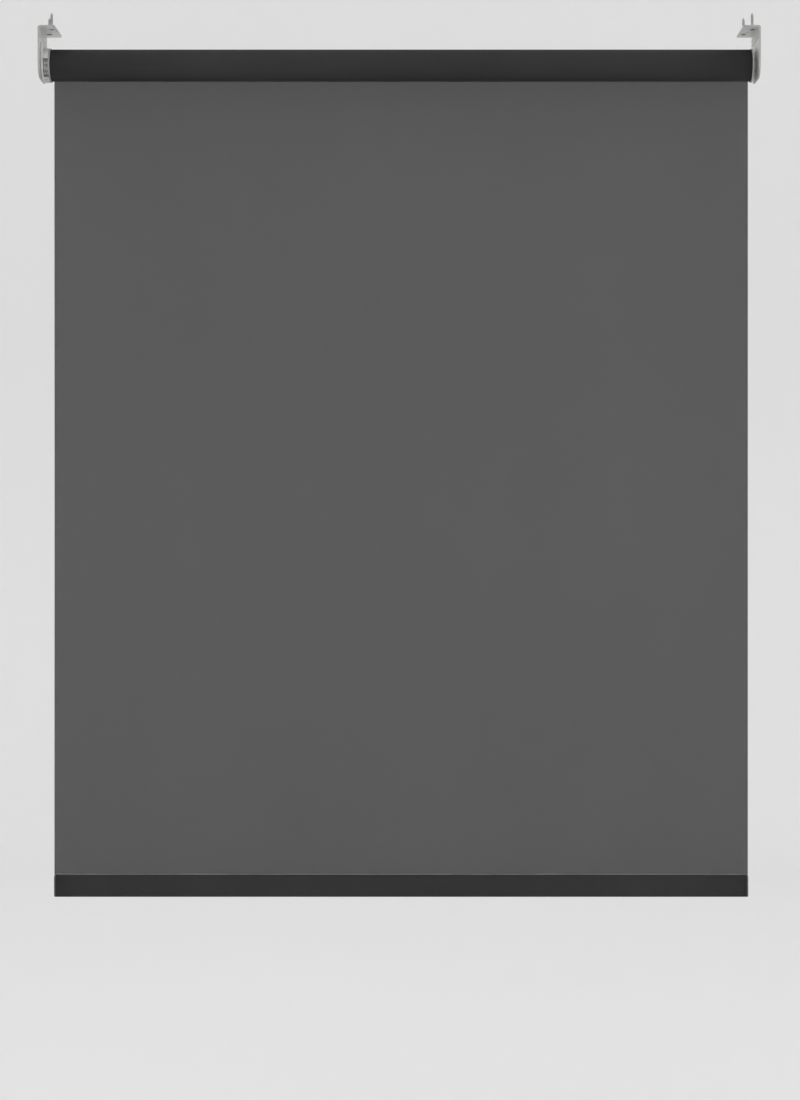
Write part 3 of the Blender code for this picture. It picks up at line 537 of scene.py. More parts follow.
def plastic(name, base, roughness, polish=0.35, dust=0.2):
    """Moulded plastic with a fine skin, slow mottling and lighter rubbed edges."""
    if name in bpy.data.materials:
        return bpy.data.materials[name]
    look, graph, shader, here = new_look(name)
    skin = graph.group("Moulded Skin", Place=here)
    rubbed = graph.group("Edge Polish", Place=here, Reach=polish)["Mask"]
    dusty = graph.group("Settled Dust", Place=here, Amount=dust)["Mask"]
    plain = graph.mix(skin["Mottle"], tone(base, 0.86), tone(base, 1.12))
    bright = graph.mix(rubbed, plain, tone(base, 1.5))
    shown = graph.mix(dusty, bright, DUST_COLOUR)
    rough = graph.spread(skin["Mottle"], 0.3, 0.7, roughness * 0.85, roughness * 1.2)
    rougher = graph.math("ADD", rough, graph.math("MULTIPLY", dusty, 0.3), clamp=True)
    feed(graph, shader, Base_Color=shown, Roughness=rougher, Normal=graph.bump(skin["Pebble"], 0.15, 0.00005))
    return look


def bracket_look(hardware):
    # cut=0.5 paints the bracket's rims at half brightness: painted shade.
    return metal("satin_nickel", hardware.nickel, 0.45, (2500.0, 25.0, 2500.0), 0.0, 0.1, 0.5, cut=0.5)


def screw_look(hardware):
    return metal("bright_zinc", hardware.zinc, 0.30, (900.0, 900.0, 900.0), 0.7, 0.05)


def wood_screw_look(hardware):
    """Zinc thread under a head coloured near black as painted shade of the holes the heads sit in."""
    head = (hardware.head_shade, -0.0004)
    return metal("black_headed_zinc", hardware.zinc, 0.34, (900.0, 900.0, 900.0), 0.1, 0.0, head=head)


def spring_look(hardware):
    return metal("drawn_spring_wire", hardware.spring, 0.34, (900.0, 300.0, 300.0), 0.3, 0.0)


def aluminium_look(hardware):
    return metal("extruded_aluminium", hardware.aluminium, 0.32, (12.0, 2200.0, 2200.0), 0.4, 0.0)


def guard_look(hardware):
    return plastic("light_grey_plastic", hardware.grey, 0.42)


def flange_look(hardware):
    return plastic("mid_grey_plastic", hardware.flange, 0.45)


def wheel_look(hardware):
    return plastic("bead_wheel_plastic", hardware.wheel, 0.48, 0.6)


def black_look(hardware):
    return plastic("inner_black_plastic", hardware.black, 0.46, 0.3, 0.0)


def cap_look(hardware):
    return plastic("charcoal_cap_plastic", hardware.cap, 0.5, 0.5)


# ---- shape tools ----
def arc(centre, radius, start, end, steps):
    """Points on an arc, angles in degrees."""
    turns = [math.radians(start + (end - start) * i / steps) for i in range(steps + 1)]
    return [(centre[0] + radius * math.cos(t), centre[1] + radius * math.sin(t)) for t in turns]


def ring_of(radius, count):
    """Points of a small circle round the origin."""
    turns = [math.tau * i / count for i in range(count)]
    return [(radius * math.cos(t), radius * math.sin(t)) for t in turns]


def oval(height, thickness, steps=16):
    """A flat-sided oval outline in (y, z)."""
    radius = thickness / 2
    rise = height / 2 - radius
    return arc((0, rise), radius, 0, 180, steps) + arc((0, -rise), radius, 180, 360, steps)


def extruded(points, reach, rounding=0.0, segments=2):
    """A face through points, drawn out by reach, with its two end rims rounded."""
    bm = bmesh.new()
    face = bm.faces.new([bm.verts.new(p) for p in points])
    grown = bmesh.ops.extrude_face_region(bm, geom=[face])
    far = [v for v in grown["geom"] if isinstance(v, bmesh.types.BMVert)]
    bmesh.ops.translate(bm, verts=far, vec=reach)
    bmesh.ops.recalc_face_normals(bm, faces=bm.faces[:])
    if rounding:
        ends = [f for f in bm.faces if len(f.verts) == len(points)]
        rims = list({e for f in ends for e in f.edges})
        round_edges(bm, rims, rounding, segments)
    return bm


def round_edges(bm, edges, size, segments=2):
    bmesh.ops.bevel(bm, geom=edges, offset=size, segments=segments, profile=0.5, affect="EDGES", material=-1,
                    clamp_overlap=True)


def moved(bm, by):
    bmesh.ops.translate(bm, verts=bm.verts[:], vec=by)
    return bm


def along_x(outline, start, reach, rounding=0.0, centre=AXIS):
    """A (y, z) outline round centre, drawn out from x = start by reach."""
    return moved(extruded([(start, y, z) for y, z in outline], (reach, 0, 0), rounding), centre)


def turned(profile, steps=96, centre=AXIS):
    """Turn a closed outline of (along X, radius) points about the X axis through centre."""
    bm = bmesh.new()
    ring = [bm.verts.new((x, 0, r)) for x, r in profile]
    for a, b in zip(ring, ring[1:] + ring[:1]):
        if a.co.z > 0 or b.co.z > 0:
            bm.edges.new((a, b))
    bmesh.ops.spin(bm, geom=bm.verts[:] + bm.edges[:], cent=ORIGIN, axis=(1, 0, 0), angle=math.tau,
                   steps=steps, use_merge=True)
    return moved(bm, centre)


def wound(section, axis, turns, steps, rise):
    """A closed section wound round an axis through the origin, climbing by rise."""
    bm = bmesh.new()
    face = bm.faces.new([bm.verts.new(p) for p in section])
    step = [part * rise / steps for part in axis]
    bmesh.ops.spin(bm, geom=bm.verts[:] + bm.edges[:] + [face], cent=ORIGIN, axis=axis, dvec=step,
                   angle=math.tau * turns, steps=steps)
    return bm


def swung(bm, angle, axis):
    """The shape turned round an axis through the origin."""
    bmesh.ops.rotate(bm, verts=bm.verts[:], cent=ORIGIN, matrix=Matrix.Rotation(angle, 3, axis))
    return bm


def upright(bm, place):
    """Stand a shape that was turned about X upright, head down, at a place."""
    return moved(swung(bm, -math.pi / 2, "Y"), place)


def face_track(face, floor, inner, outer):
    """The part of a turned outline that is a shallow ring sunk in a flat face, from inside outwards."""
    return [(face, inner), (floor, inner + TRACK_SLOPE), (floor, outer - TRACK_SLOPE), (face, outer)]


def soften(profile, size, steps=3):
    """The outline with each corner that is clear of the axis cut by a small arc."""
    made = []
    count = len(profile)
    for i, (x, r) in enumerate(profile):
        before = Vector(profile[i - 1]) - Vector((x, r))
        after = Vector(profile[(i + 1) % count]) - Vector((x, r))
        room = min(before.length, after.length) / 2
        if r <= 0 or room < 1e-6:
            made.append((x, r))
            continue
        cut = min(size, room * 0.9)
        start = Vector((x, r)) + before.normalized() * cut
        end = Vector((x, r)) + after.normalized() * cut
        for k in range(steps + 1):
            t = k / steps
            point = start * (1 - t) ** 2 + Vector((x, r)) * 2 * t * (1 - t) + end * t**2
            made.append((point.x, point.y))
    return made


def block(low, high, rounding=0.0):
    """A box between two corners, with rounded edges."""
    bm = bmesh.new()
    bmesh.ops.create_cube(bm, size=1)
    bmesh.ops.scale(bm, vec=[b - a for a, b in zip(low, high)], verts=bm.verts[:])
    moved(bm, [(a + b) / 2 for a, b in zip(low, high)])
    if rounding:
        round_edges(bm, bm.edges[:], rounding)
    return bm


def loose(bm):
    """A shape as a plain object, for one Boolean step."""
    bmesh.ops.remove_doubles(bm, verts=bm.verts[:], dist=SAME_PLACE)
    bmesh.ops.recalc_face_normals(bm, faces=bm.faces[:])
    mesh = bpy.data.meshes.new("step")
    bm.to_mesh(mesh)
    bm.free()
    item = bpy.data.objects.new("step", mesh)
    bpy.context.scene.collection.objects.link(item)
    return item


def worked(bm, *steps):
    """The shape after each (operation, shape) step, as one closed bmesh."""
    target = loose(bm)
    tools = [loose(shape) for _, shape in steps]
    for (operation, _), tool in zip(steps, tools):
        modifier = target.modifiers.new("step", "BOOLEAN")
        modifier.operation = operation
        modifier.solver = "EXACT"
        modifier.object = tool
    graph = bpy.context.evaluated_depsgraph_get()
    made = bmesh.new()
    made.from_mesh(target.evaluated_get(graph).to_mesh())
    for item in [target] + tools:
        bpy.data.objects.remove(item, do_unlink=True)
    return made


def make(name, bm, look, smooth=35.0):
    """Finish a bmesh as a named piece whose place is in its mesh."""
    bmesh.ops.remove_doubles(bm, verts=bm.verts[:], dist=1e-6)
    bmesh.ops.recalc_face_normals(bm, faces=bm.faces[:])
    mesh = bpy.data.meshes.new(name)
    bm.to_mesh(mesh)
    bm.free()
    mesh.shade_smooth()
    mesh.set_sharp_from_angle(angle=math.radians(smooth))
    mesh.materials.append(look)
    item = bpy.data.objects.new(name, mesh)
    bpy.context.scene.collection.objects.link(item)
    return item


def even_normals(item):
    """Flat faces keep flat shading next to small rounded edges."""
    weighted = item.modifiers.new("even_normals", "WEIGHTED_NORMAL")
    weighted.keep_sharp = True
    weighted.weight = 80
    return item


def settle(item, body, slot, *nodes):
    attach(item, body)
    if nodes:
        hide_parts(*nodes)
    return item


def repaint(look, *nodes):
    """Give carried-over CAD nodes a finished material."""
    for name in nodes:
        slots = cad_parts[name].material_slots
        if len(slots):
            for held in slots:
                held.material = look
        else:
            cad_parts[name].data.materials.append(look)


# ---- brackets and screws ----
def bracket_shape(rounding):
    """The bent plate with its outer face at x = 0 and its foot on the ceiling."""
    low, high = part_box("bracket_left")
    foot = high.x - low.x
    height = high.z - low.z
    depth = high.y - low.y
    profile = [(foot, 0)] + arc((BEND, -BEND), BEND, 90, 180, 10)
    profile += [(0, -height), (PLATE, -height)] + arc((BEND, -BEND), BEND - PLATE, 180, 90, 8)
    profile += [(foot, -PLATE)]
    bm = extruded([(x, -depth / 2, z) for x, z in profile], (0, depth, 0))

    def standing(axis, value):
        return [
            e for e in bm.edges
            if all(abs(v.co[axis] - value) < SAME_PLACE for v in e.verts)
            and abs(e.verts[0].co.y - e.verts[1].co.y) < SAME_PLACE
            and e.calc_length() > PLATE / 2
        ]

    round_edges(bm, standing(0, foot), FOOT_CORNER, 10)
    round_edges(bm, standing(2, -height), CHEEK_CORNER, 24)
    rims = [e for e in bm.edges if len(e.link_faces) == 2 and e.calc_face_angle() > math.radians(60)]
    round_edges(bm, rims, rounding)
    return bm, depth


def pressed_bead(drop, depth):
    """A long stiffening bead with domed ends, sunk in the cheek's inner face."""
    reach = depth / 2 - BEAD_MARGIN
    ends = arc((reach - BEAD_RADIUS, 0), BEAD_RADIUS, 90, 0, 6)
    profile = [(-x, r) for x, r in reversed(ends)] + ends
    return moved(swung(turned(profile, 24, ORIGIN), math.pi / 2, "Z"), (PLATE - BEAD_SINK, 0, -drop))


def hole(radius, mouth, mouth_height, place):
    """A countersunk hole up through the foot, with its upper rim broken."""
    rim = 0.0002
    wide = radius + 2 * rim
    profile = [(-OVERCUT, 0), (-OVERCUT, mouth + rim), (0, mouth + rim / 2), (mouth_height, radius),
               (PLATE - rim, radius), (PLATE + rim, wide), (PLATE + OVERCUT, wide), (PLATE + OVERCUT, 0)]
    return upright(turned(profile, 40, ORIGIN), place)


def edge_groove(depth):
    """Shallow groove beside the foot's free edge, turning the front corner."""
    low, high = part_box("bracket_left")
    centre = (high.x - low.x - FOOT_CORNER, -depth / 2 + FOOT_CORNER)
    wide, narrow = FOOT_CORNER - GROOVE_EDGE, FOOT_CORNER - GROOVE_EDGE - GROOVE_WIDTH
    back = centre[1] + GROOVE_LENGTH
    outline = [(centre[0] + wide, back)] + arc(centre, wide, 0, -60, 8)
    outline += arc(centre, narrow, -60, 0, 8) + [(centre[0] + narrow, back)]
    return extruded([(x, y, -PLATE - OVERCUT) for x, y in outline], (0, 0, OVERCUT + GROOVE_DEPTH))


def cheek_openings():
    """The hooking slots and the round eye on the roller axis."""
    for side in (-1, 1):
        middle = side * LUG_OFFSET
        low = (-OVERCUT, middle - LUG_WIDTH / 2 - GAP, AXIS.z - LUG_HEIGHT / 2 - GAP)
        high = (PLATE + OVERCUT, middle + LUG_WIDTH / 2 + GAP, AXIS.z + LUG_HEIGHT / 2 + GAP)
        yield block(low, high)
    lip = 0.0003
    profile = [(-OVERCUT, 0), (-OVERCUT, EYE_RADIUS + lip), (0, EYE_RADIUS + lip), (lip, EYE_RADIUS),
               (PLATE - lip, EYE_RADIUS), (PLATE, EYE_RADIUS + lip), (PLATE + OVERCUT, EYE_RADIUS + lip),
               (PLATE + OVERCUT, 0)]
    yield turned(profile, 64)


class BLIND_OT_brackets(bpy.types.Operator):
    """Build the two bent ceiling brackets"""

    bl_idname = "blind.brackets"
    bl_label = "Brackets"

    def execute(self, context):
        hardware = context.scene.blind.hardware
        countersink = (SCREW_HOLE, SCREW_HEAD + GAP, SCREW_HEAD_HEIGHT)
        for side, turn in (("left", 0.0), ("right", math.pi)):
            bm, depth = bracket_shape(hardware.rounding)
            steps = [("UNION", pressed_bead(drop, depth)) for drop in BEAD_DROPS]
            for _, x, y in SCREW_PLACES:
                steps.append(("DIFFERENCE", hole(*countersink, (x, y, -PLATE))))
            steps.append(("DIFFERENCE", hole(PILOT_HOLE, PILOT_HOLE, PLATE / 2, (PILOT_PLACE, 0, -PLATE))))
            steps.append(("DIFFERENCE", edge_groove(depth)))
            steps += [("DIFFERENCE", shape) for shape in cheek_openings()]
            low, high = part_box(f"bracket_{side}")
            outer = low.x if turn == 0 else high.x
            bm = moved(swung(worked(bm, *steps), turn, "Z"), (outer, 0, 0))
            plate = even_normals(make(f"plated_bracket_{side}", bm, bracket_look(hardware)))
            settle(plate, "frame", "bracket_steel", f"bracket_{side}")
        return {"FINISHED"}


def screw_thread(shank, pitch, start, end):
    """A ridge wound round the shank, along Z."""
    root, crest = shank * 0.96, shank + pitch * 0.32
    section = [(root, 0, start), (crest, 0, start + pitch * 0.22), (crest, 0, start + pitch * 0.30),
               (root, 0, start + pitch * 0.52)]
    turns = (end - start) / pitch
    return wound(section, (0, 0, 1), turns, round(turns * 20), end - start)


def ceiling_screw(place):
    """Countersunk wood screw with a cross recess and a rolled thread, point up."""
    low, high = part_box("ceiling_screw_left_inner")
    size = high.z - low.z
    tip = size - SCREW_POINT
    shank = SCREW_SHANK * 0.74
    rim = 0.0002
    profile = [(0, 0), (0, SCREW_HEAD - rim), (rim, SCREW_HEAD), (SCREW_HEAD_HEIGHT, SCREW_SHANK),
               (size * 0.3, SCREW_SHANK), (size * 0.32, shank), (tip, shank), (size, rim), (size, 0)]
    bm = upright(turned(profile, 40, ORIGIN), ORIGIN)
    for a, b in ((CROSS_ARM, CROSS_HALF), (CROSS_HALF, CROSS_ARM)):
        bm = worked(bm, ("DIFFERENCE", block((-a, -b, -OVERCUT), (a, b, CROSS_DEPTH), rim / 2)))
    ridge = bpy.data.meshes.new("ridge")
    screw_thread(shank, THREAD_PITCH, size * 0.33, tip + 0.0012).to_mesh(ridge)
    bm.from_mesh(ridge)
    return moved(bm, place)


class BLIND_OT_ceiling_screws(bpy.types.Operator):
    """Build the four ceiling screws"""

    bl_idname = "blind.ceiling_screws"
    bl_label = "Ceiling Screws"

    def execute(self, context):
        look = wood_screw_look(context.scene.blind.hardware)
        for side in ("left", "right"):
            for label, _, _ in SCREW_PLACES:
                node = f"ceiling_screw_{side}_{label}"
                low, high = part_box(node)
                bm = ceiling_screw(((low.x + high.x) / 2, (low.y + high.y) / 2, low.z))
                screw = make(f"wood_screw_{side}_{label}", bm, look)
                settle(screw, "frame", "screw_steel", node)
        return {"FINISHED"}


# ---- control end ----
def shroud(radius, start, end, steps, reach, rounding):
    """A curved wall over the bead wheel, with a rounded free rim."""
    outline = arc((0, 0), radius - SHROUD_STEP, start, end, steps)
    outline += arc((0, 0), radius - SHROUD_WALL, end, start, steps)
    return along_x(outline, GUARD_INNER - GUARD_WALL / 2, reach, rounding)


class BLIND_OT_winder_guard(bpy.types.Operator):
    """Build the winder's guard plate with its shroud and hooking lugs"""

    bl_idname = "blind.winder_guard"
    bl_label = "Winder Guard"

    def execute(self, context):
        hardware = context.scene.blind.hardware
        radius = GUARD_HIGH.y
        rise = GUARD_HIGH.z - AXIS.z
        corner = GUARD_CORNER
        outline = arc((0, 0), radius, 180, 360, 56)
        outline += arc((radius - corner, rise - corner), corner, 0, 90, 8)
        outline += arc((-radius + corner, rise - corner), corner, 90, 180, 8)
        bm = along_x(outline, GUARD_OUTER, GUARD_WALL, hardware.rounding)
        reach = WHEEL_INNER - GUARD_INNER + GUARD_WALL / 2
        steps = [
            ("UNION", shroud(radius, 15, 165, 60, reach, hardware.rounding)),
            ("UNION", shroud(radius, -126, -54, 30, reach, hardware.rounding)),
        ]
        for side in (-1, 1):
            middle = side * LUG_OFFSET
            low = (GUARD_LOW.x, middle - LUG_WIDTH / 2, AXIS.z - LUG_HEIGHT / 2)
            high = (GUARD_OUTER + GUARD_WALL / 2, middle + LUG_WIDTH / 2, AXIS.z + LUG_HEIGHT / 2)
            steps.append(("UNION", block(low, high, hardware.rounding)))
        hexagon = arc((0, 0), TAIL_RADIUS + GAP, 0, 300, 5)
        tail = along_x(hexagon, GUARD_OUTER - OVERCUT, GUARD_WALL + 2 * OVERCUT)
        steps.append(("DIFFERENCE", tail))
        bore, rim = GUARD_RECESS
        floor, mouth = GUARD_INNER - RECESS_DEPTH, GUARD_INNER + OVERCUT
        recess = [(floor, bore + RECESS_DRAFT), (floor, rim - RECESS_DRAFT), (mouth, rim), (mouth, bore)]
        steps.append(("DIFFERENCE", turned(recess, 72)))
        left = (GUARD_INNER + WHEEL_INNER - DENT_WIDTH) / 2
        for start in DENT_STARTS:
            end = start + DENT_SPAN
            outline = arc((0, 0), radius + OVERCUT, start, end, 10)
            outline += arc((0, 0), radius - DENT_DEPTH, end, start, 10)
            steps.append(("DIFFERENCE", along_x(outline, left, DENT_WIDTH)))
        guard = even_normals(make("moulded_winder_guard", worked(bm, *steps), guard_look(hardware)))
        settle(guard, "frame", "guard_grey", "winder_guard")
        return {"FINISHED"}


class BLIND_OT_bead_wheel(bpy.types.Operator):
    """Build the bead wheel with its pockets and sleeve"""

    bl_idname = "blind.bead_wheel"
    bl_label = "Bead Wheel"

    def execute(self, context):
        radius = WHEEL_HIGH.y
        middle = (WHEEL_LOW.x + WHEEL_INNER) / 2
        outer, end = WHEEL_LOW.x, WHEEL_HIGH.x
        width, depth = CORD_GROOVE
        half = width / 2
        rim, bevel = 0.0003, 0.0002
        profile = [(outer, SLEEVE_BORE)] + face_track(outer, outer + WHEEL_TRACK_DEPTH, *WHEEL_TRACK)
        profile += [
            (outer, radius - rim), (outer + rim, radius), (middle - half, radius),
            (middle - half, radius - depth), (middle + half, radius - depth), (middle + half, radius),
            (WHEEL_INNER - rim, radius), (WHEEL_INNER, radius - rim), (WHEEL_INNER, SLEEVE_RADIUS),
            (end - bevel, SLEEVE_RADIUS), (end, SLEEVE_RADIUS - bevel), (end, SLEEVE_BORE),
        ]
        pockets = bmesh.new()
        for index in range(BEAD_POCKETS):
            angle = math.tau * (index + 0.5) / BEAD_POCKETS
            ring = radius - POCKET_SINK
            spot = AXIS + Vector((middle, ring * math.cos(angle), ring * math.sin(angle)))
            bmesh.ops.create_icosphere(pockets, subdivisions=3, radius=POCKET_RADIUS,
                                       matrix=Matrix.Translation(spot))
        bm = worked(turned(profile, 96), ("DIFFERENCE", pockets))
        wheel = even_normals(make("moulded_bead_wheel", bm, wheel_look(context.scene.blind.hardware)))
        settle(wheel, "sprocket", "sprocket_grey", "bead_sprocket")
        return {"FINISHED"}


class BLIND_OT_clutch(bpy.types.Operator):
    """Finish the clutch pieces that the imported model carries"""

    bl_idname = "blind.clutch"
    bl_label = "Clutch"

    def execute(self, context):
        hardware = context.scene.blind.hardware
        repaint(black_look(hardware), "clutch_spindle", "clutch_retainer", "drive_hub")
        repaint(screw_look(hardware), "clutch_screw")
        repaint(spring_look(hardware), "wrap_spring_outer", "wrap_spring_inner")
        return {"FINISHED"}


def channel_notch(start, end):
    """Clearance for the tube's fixing channel in a piece that fits inside the tube."""
    half = NOTCH_HALF
    outline = arc((0, NOTCH_FLOOR), half, 180, 360, 16) + [(half, TUBE_RADIUS), (-half, TUBE_RADIUS)]
    return along_x(outline, start, end - start)


class BLIND_OT_tube_adapter(bpy.types.Operator):
    """Build the flanged crown that drives the tube"""

    bl_idname = "blind.tube_adapter"
    bl_label = "Tube Adapter"

    def execute(self, context):
        outer = ADAPTER_LOW.x
        inner = outer + FLANGE
        end = ADAPTER_HIGH.x
        profile = [(outer, HUB_BORE)] + face_track(outer, outer + CROWN_TRACK_DEPTH, *CROWN_TRACK)
        profile += [
            (outer, FLANGE_RADIUS), (inner, FLANGE_RADIUS), (inner, ADAPTER_RADIUS),
            (end - LEAD_IN, ADAPTER_RADIUS), (end, ADAPTER_RADIUS - LEAD_IN_DEPTH), (end, HUB_BORE),
        ]
        reach = HUB_BORE + KEY_DEPTH
        low = (inner - GAP, -reach, AXIS.z - KEY_HALF)
        keyway = block(low, (end + OVERCUT, reach, AXIS.z + KEY_HALF))
        notch = channel_notch(ROLL_LOW.x - GAP, end + OVERCUT)
        bm = worked(turned(soften(profile, MOULD_ROUND)), ("DIFFERENCE", keyway), ("DIFFERENCE", notch))
        crown = even_normals(make("moulded_tube_adapter", bm, flange_look(context.scene.blind.hardware)))
        settle(crown, "roller", "guard_grey", "tube_adapter")
        return {"FINISHED"}


# ---- tube and idle end ----
class BLIND_OT_tube(bpy.types.Operator):
    """Finish the roller tube and the cord that fixes the fabric in it"""

    bl_idname = "blind.tube"
    bl_label = "Roller Tube"

    def execute(self, context):
        hardware = context.scene.blind.hardware
        repaint(aluminium_look(hardware), "roller_tube")
        repaint(black_look(hardware), "fixing_cord")
        return {"FINISHED"}


class BLIND_OT_idle_end(bpy.types.Operator):
    """Build the idle plug, its sprung pin and the bracket's socket"""

    bl_idname = "blind.idle_end"
    bl_label = "Idle End"

    def execute(self, context):
        hardware = context.scene.blind.hardware
        self.plug(hardware)
        self.pin(hardware)
        self.socket(hardware)
        self.spring(hardware)
        repaint(black_look(hardware), "idle_stop")
        return {"FINISHED"}

    def spring(self, hardware):
        """Wire wound round the pin's tail; the real spring shortens as the pin goes in, this coil is built at
        one length.
        """
        half = IDLE_WIRE / 2
        size = COIL_HIGH.x - COIL_LOW.x
        section = [(COIL_LOW.x + half + x, 0, COIL_HIGH.y - half + r) for x, r in ring_of(half, 10)]
        bm = wound(section, (1, 0, 0), IDLE_TURNS, IDLE_TURNS * 28, size - IDLE_WIRE)
        coil = make("wound_idle_spring", moved(bm, AXIS), spring_look(hardware), 60.0)
        settle(coil, "roller", "spring_steel", "idle_spring")
        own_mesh(coil)

    def plug(self, hardware):
        face = PLUG_HIGH.x
        shoulder = face - FLANGE
        bore = PIN_RADIUS + GAP
        start, chamber = PLUG_LOW.x, face - PLUG_FACE
        profile = [
            (start, CHAMBER_BORE), (start, ADAPTER_RADIUS - LEAD_IN_DEPTH), (start + LEAD_IN, ADAPTER_RADIUS),
            (shoulder, ADAPTER_RADIUS), (shoulder, FLANGE_RADIUS), (face, FLANGE_RADIUS),
        ]
        profile += reversed(face_track(face, face - PLUG_TRACK_DEPTH, *PLUG_TRACK))
        profile += [(face, bore), (chamber, bore), (chamber, CHAMBER_BORE)]
        notch = channel_notch(PLUG_LOW.x - OVERCUT, ROLL_HIGH.x)
        bm = worked(turned(soften(profile, MOULD_ROUND)), ("DIFFERENCE", notch))
        plug = even_normals(make("moulded_idle_plug", bm, flange_look(hardware)))
        settle(plug, "roller", "guard_grey", "idle_plug")

    def pin(self, hardware):
        start = PIN_LOW.x
        collar = start + PIN_TAIL
        head = collar + PIN_COLLAR
        wide = CHAMBER_BORE - GAP
        tail, rim, nose = 0.0026, 0.0003, 0.0012
        profile = [
            (start, 0), (start, tail - rim), (start + rim, tail), (collar, tail), (collar, wide),
            (head, wide), (head, PIN_RADIUS),
        ]
        profile += arc((PIN_HIGH.x - nose, PIN_RADIUS - nose), nose, 90, 0, 8) + [(PIN_HIGH.x, 0)]
        pin = make("turned_idle_pin", turned(profile, 64), screw_look(hardware))
        settle(pin, "pin", "screw_steel", "idle_pin")

    def socket(self, hardware):
        disc = SOCKET_HIGH.z - AXIS.z
        bore = PIN_RADIUS + GAP
        start, end = SOCKET_LOW.x, SOCKET_HIGH.x
        rim, boss, neck = 0.0004, 0.0066, 0.0052
        seat = start + SOCKET_DISC
        profile = [
            (start, bore), (start, boss - rim), (start + rim, boss), (start + rim, disc), (seat, disc),
            (seat, neck), (end, neck), (end, bore),
        ]
        bush = make("moulded_idle_socket", turned(soften(profile, 0.0002), 72), wheel_look(hardware))
        settle(bush, "frame", "sprocket_grey", "idle_socket")


# ---- fabric ----
def ribbon(path, start, end, columns=1):
    """A single layer of fabric through (y, z) points, from x = start to x = end.

    Each point keeps its distance along the path in the attribute that the weave reads.
    """
    bm = bmesh.new()
    along = bm.verts.layers.float.new("along")
    edge = [bm.verts.new((start, y, z)) for y, z in path]
    for a, b in zip(edge, edge[1:]):
        bm.edges.new((a, b))
    run = 0.0
    for before, vert in zip([edge[0]] + edge, edge):
        run += (vert.co - before.co).length
        vert[along] = run
    chain = bm.edges[:]
    for _ in range(columns):
        grown = bmesh.ops.extrude_edge_only(bm, edges=chain)["geom"]
        far = [v for v in grown if isinstance(v, bmesh.types.BMVert)]
        bmesh.ops.translate(bm, verts=far, vec=((end - start) / columns, 0, 0))
        chain = [e for e in grown if isinstance(e, bmesh.types.BMEdge)]
        chain = [e for e in chain if abs(e.verts[0].co.x - e.verts[1].co.x) < SAME_PLACE]
    return bm, run


def thicken(item, thickness):
    """Give a single layer its thickness, half to each side."""
    wall = item.modifiers.new("thickness", "SOLIDIFY")
    wall.thickness = thickness
    wall.offset = 0.0
    wall.use_even_offset = True
    return item


class BLIND_OT_wound_fabric(bpy.types.Operator):
    """Wind the fabric that stays on the tube as one spiral layer"""

    bl_idname = "blind.wound_fabric"
    bl_label = "Wound Fabric"

    def execute(self, context):
        cloth_settings = context.scene.blind.cloth
        outer = ROLL_RADIUS - cloth_settings.thickness / 2
        count = round(cloth_settings.wraps * 96)
        path = []
        for i in range(count + 1):
            angle = math.tau * cloth_settings.wraps * i / count
            radius = outer - cloth_settings.wrap_pitch * angle / math.tau
            path.append((radius * math.cos(angle), AXIS.z + radius * math.sin(angle)))
        y, z = path[-1]
        bend = 0.0004
        path += [(y - 0.75 * bend, z - 0.75 * bend), (y - bend, z - 1.75 * bend), (y - bend, z - SLOT_DEPTH)]
        bm, run = ribbon(path, ROLL_LOW.x, ROLL_HIGH.x, 4)
        look = cloth("wound_charcoal_cloth", cloth_settings, "wound", 0.0)
        roll = thicken(make("wound_fabric", bm, look, 60.0), cloth_settings.thickness)
        settle(roll, "roller", "charcoal_fabric", "fabric_roll")
        return {"FINISHED"}


class BLIND_OT_hanging_fabric(bpy.types.Operator):
    """Hang the flat fabric between the roll and the hem"""

    bl_idname = "blind.hanging_fabric"
    bl_label = "Hanging Fabric"

    def execute(self, context):
        cloth_settings = context.scene.blind.cloth
        top_y = ROLL_RADIUS - cloth_settings.thickness / 2
        bottom_y = POCKET_MIDDLE.y
        bottom = WRAP_TOP + cloth_settings.weld * 0.5
        path = [(top_y, AXIS.z), ((top_y + bottom_y) / 2, (AXIS.z + bottom) / 2), (bottom_y, bottom)]
        columns = 96
        bm, run = ribbon(path, DROP_LOW.x, DROP_HIGH.x, columns)
        width = DROP_HIGH.x - DROP_LOW.x
        for vert in bm.verts:
            down = (AXIS.z - vert.co.z) / (AXIS.z - bottom)
            across = (vert.co.x - DROP_LOW.x) / width
            wave = math.sin(across * math.tau * 2.5 + 0.7) + 0.5 * math.sin(across * math.tau * 5.3 + 2.1)
            curl = math.exp(-across * 60) + math.exp(-(1 - across) * 60)
            slack = 4 * down * (1 - down)
            vert.co.y += cloth_settings.ripple * slack * (wave + 1.5 * curl)
        look = cloth("hanging_charcoal_cloth", cloth_settings, "hung", cloth_settings.see_through)
        drop = thicken(make("hanging_fabric", bm, look, 60.0), cloth_settings.thickness)
        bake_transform(drop)
        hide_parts("fabric_drop")
        return {"FINISHED"}


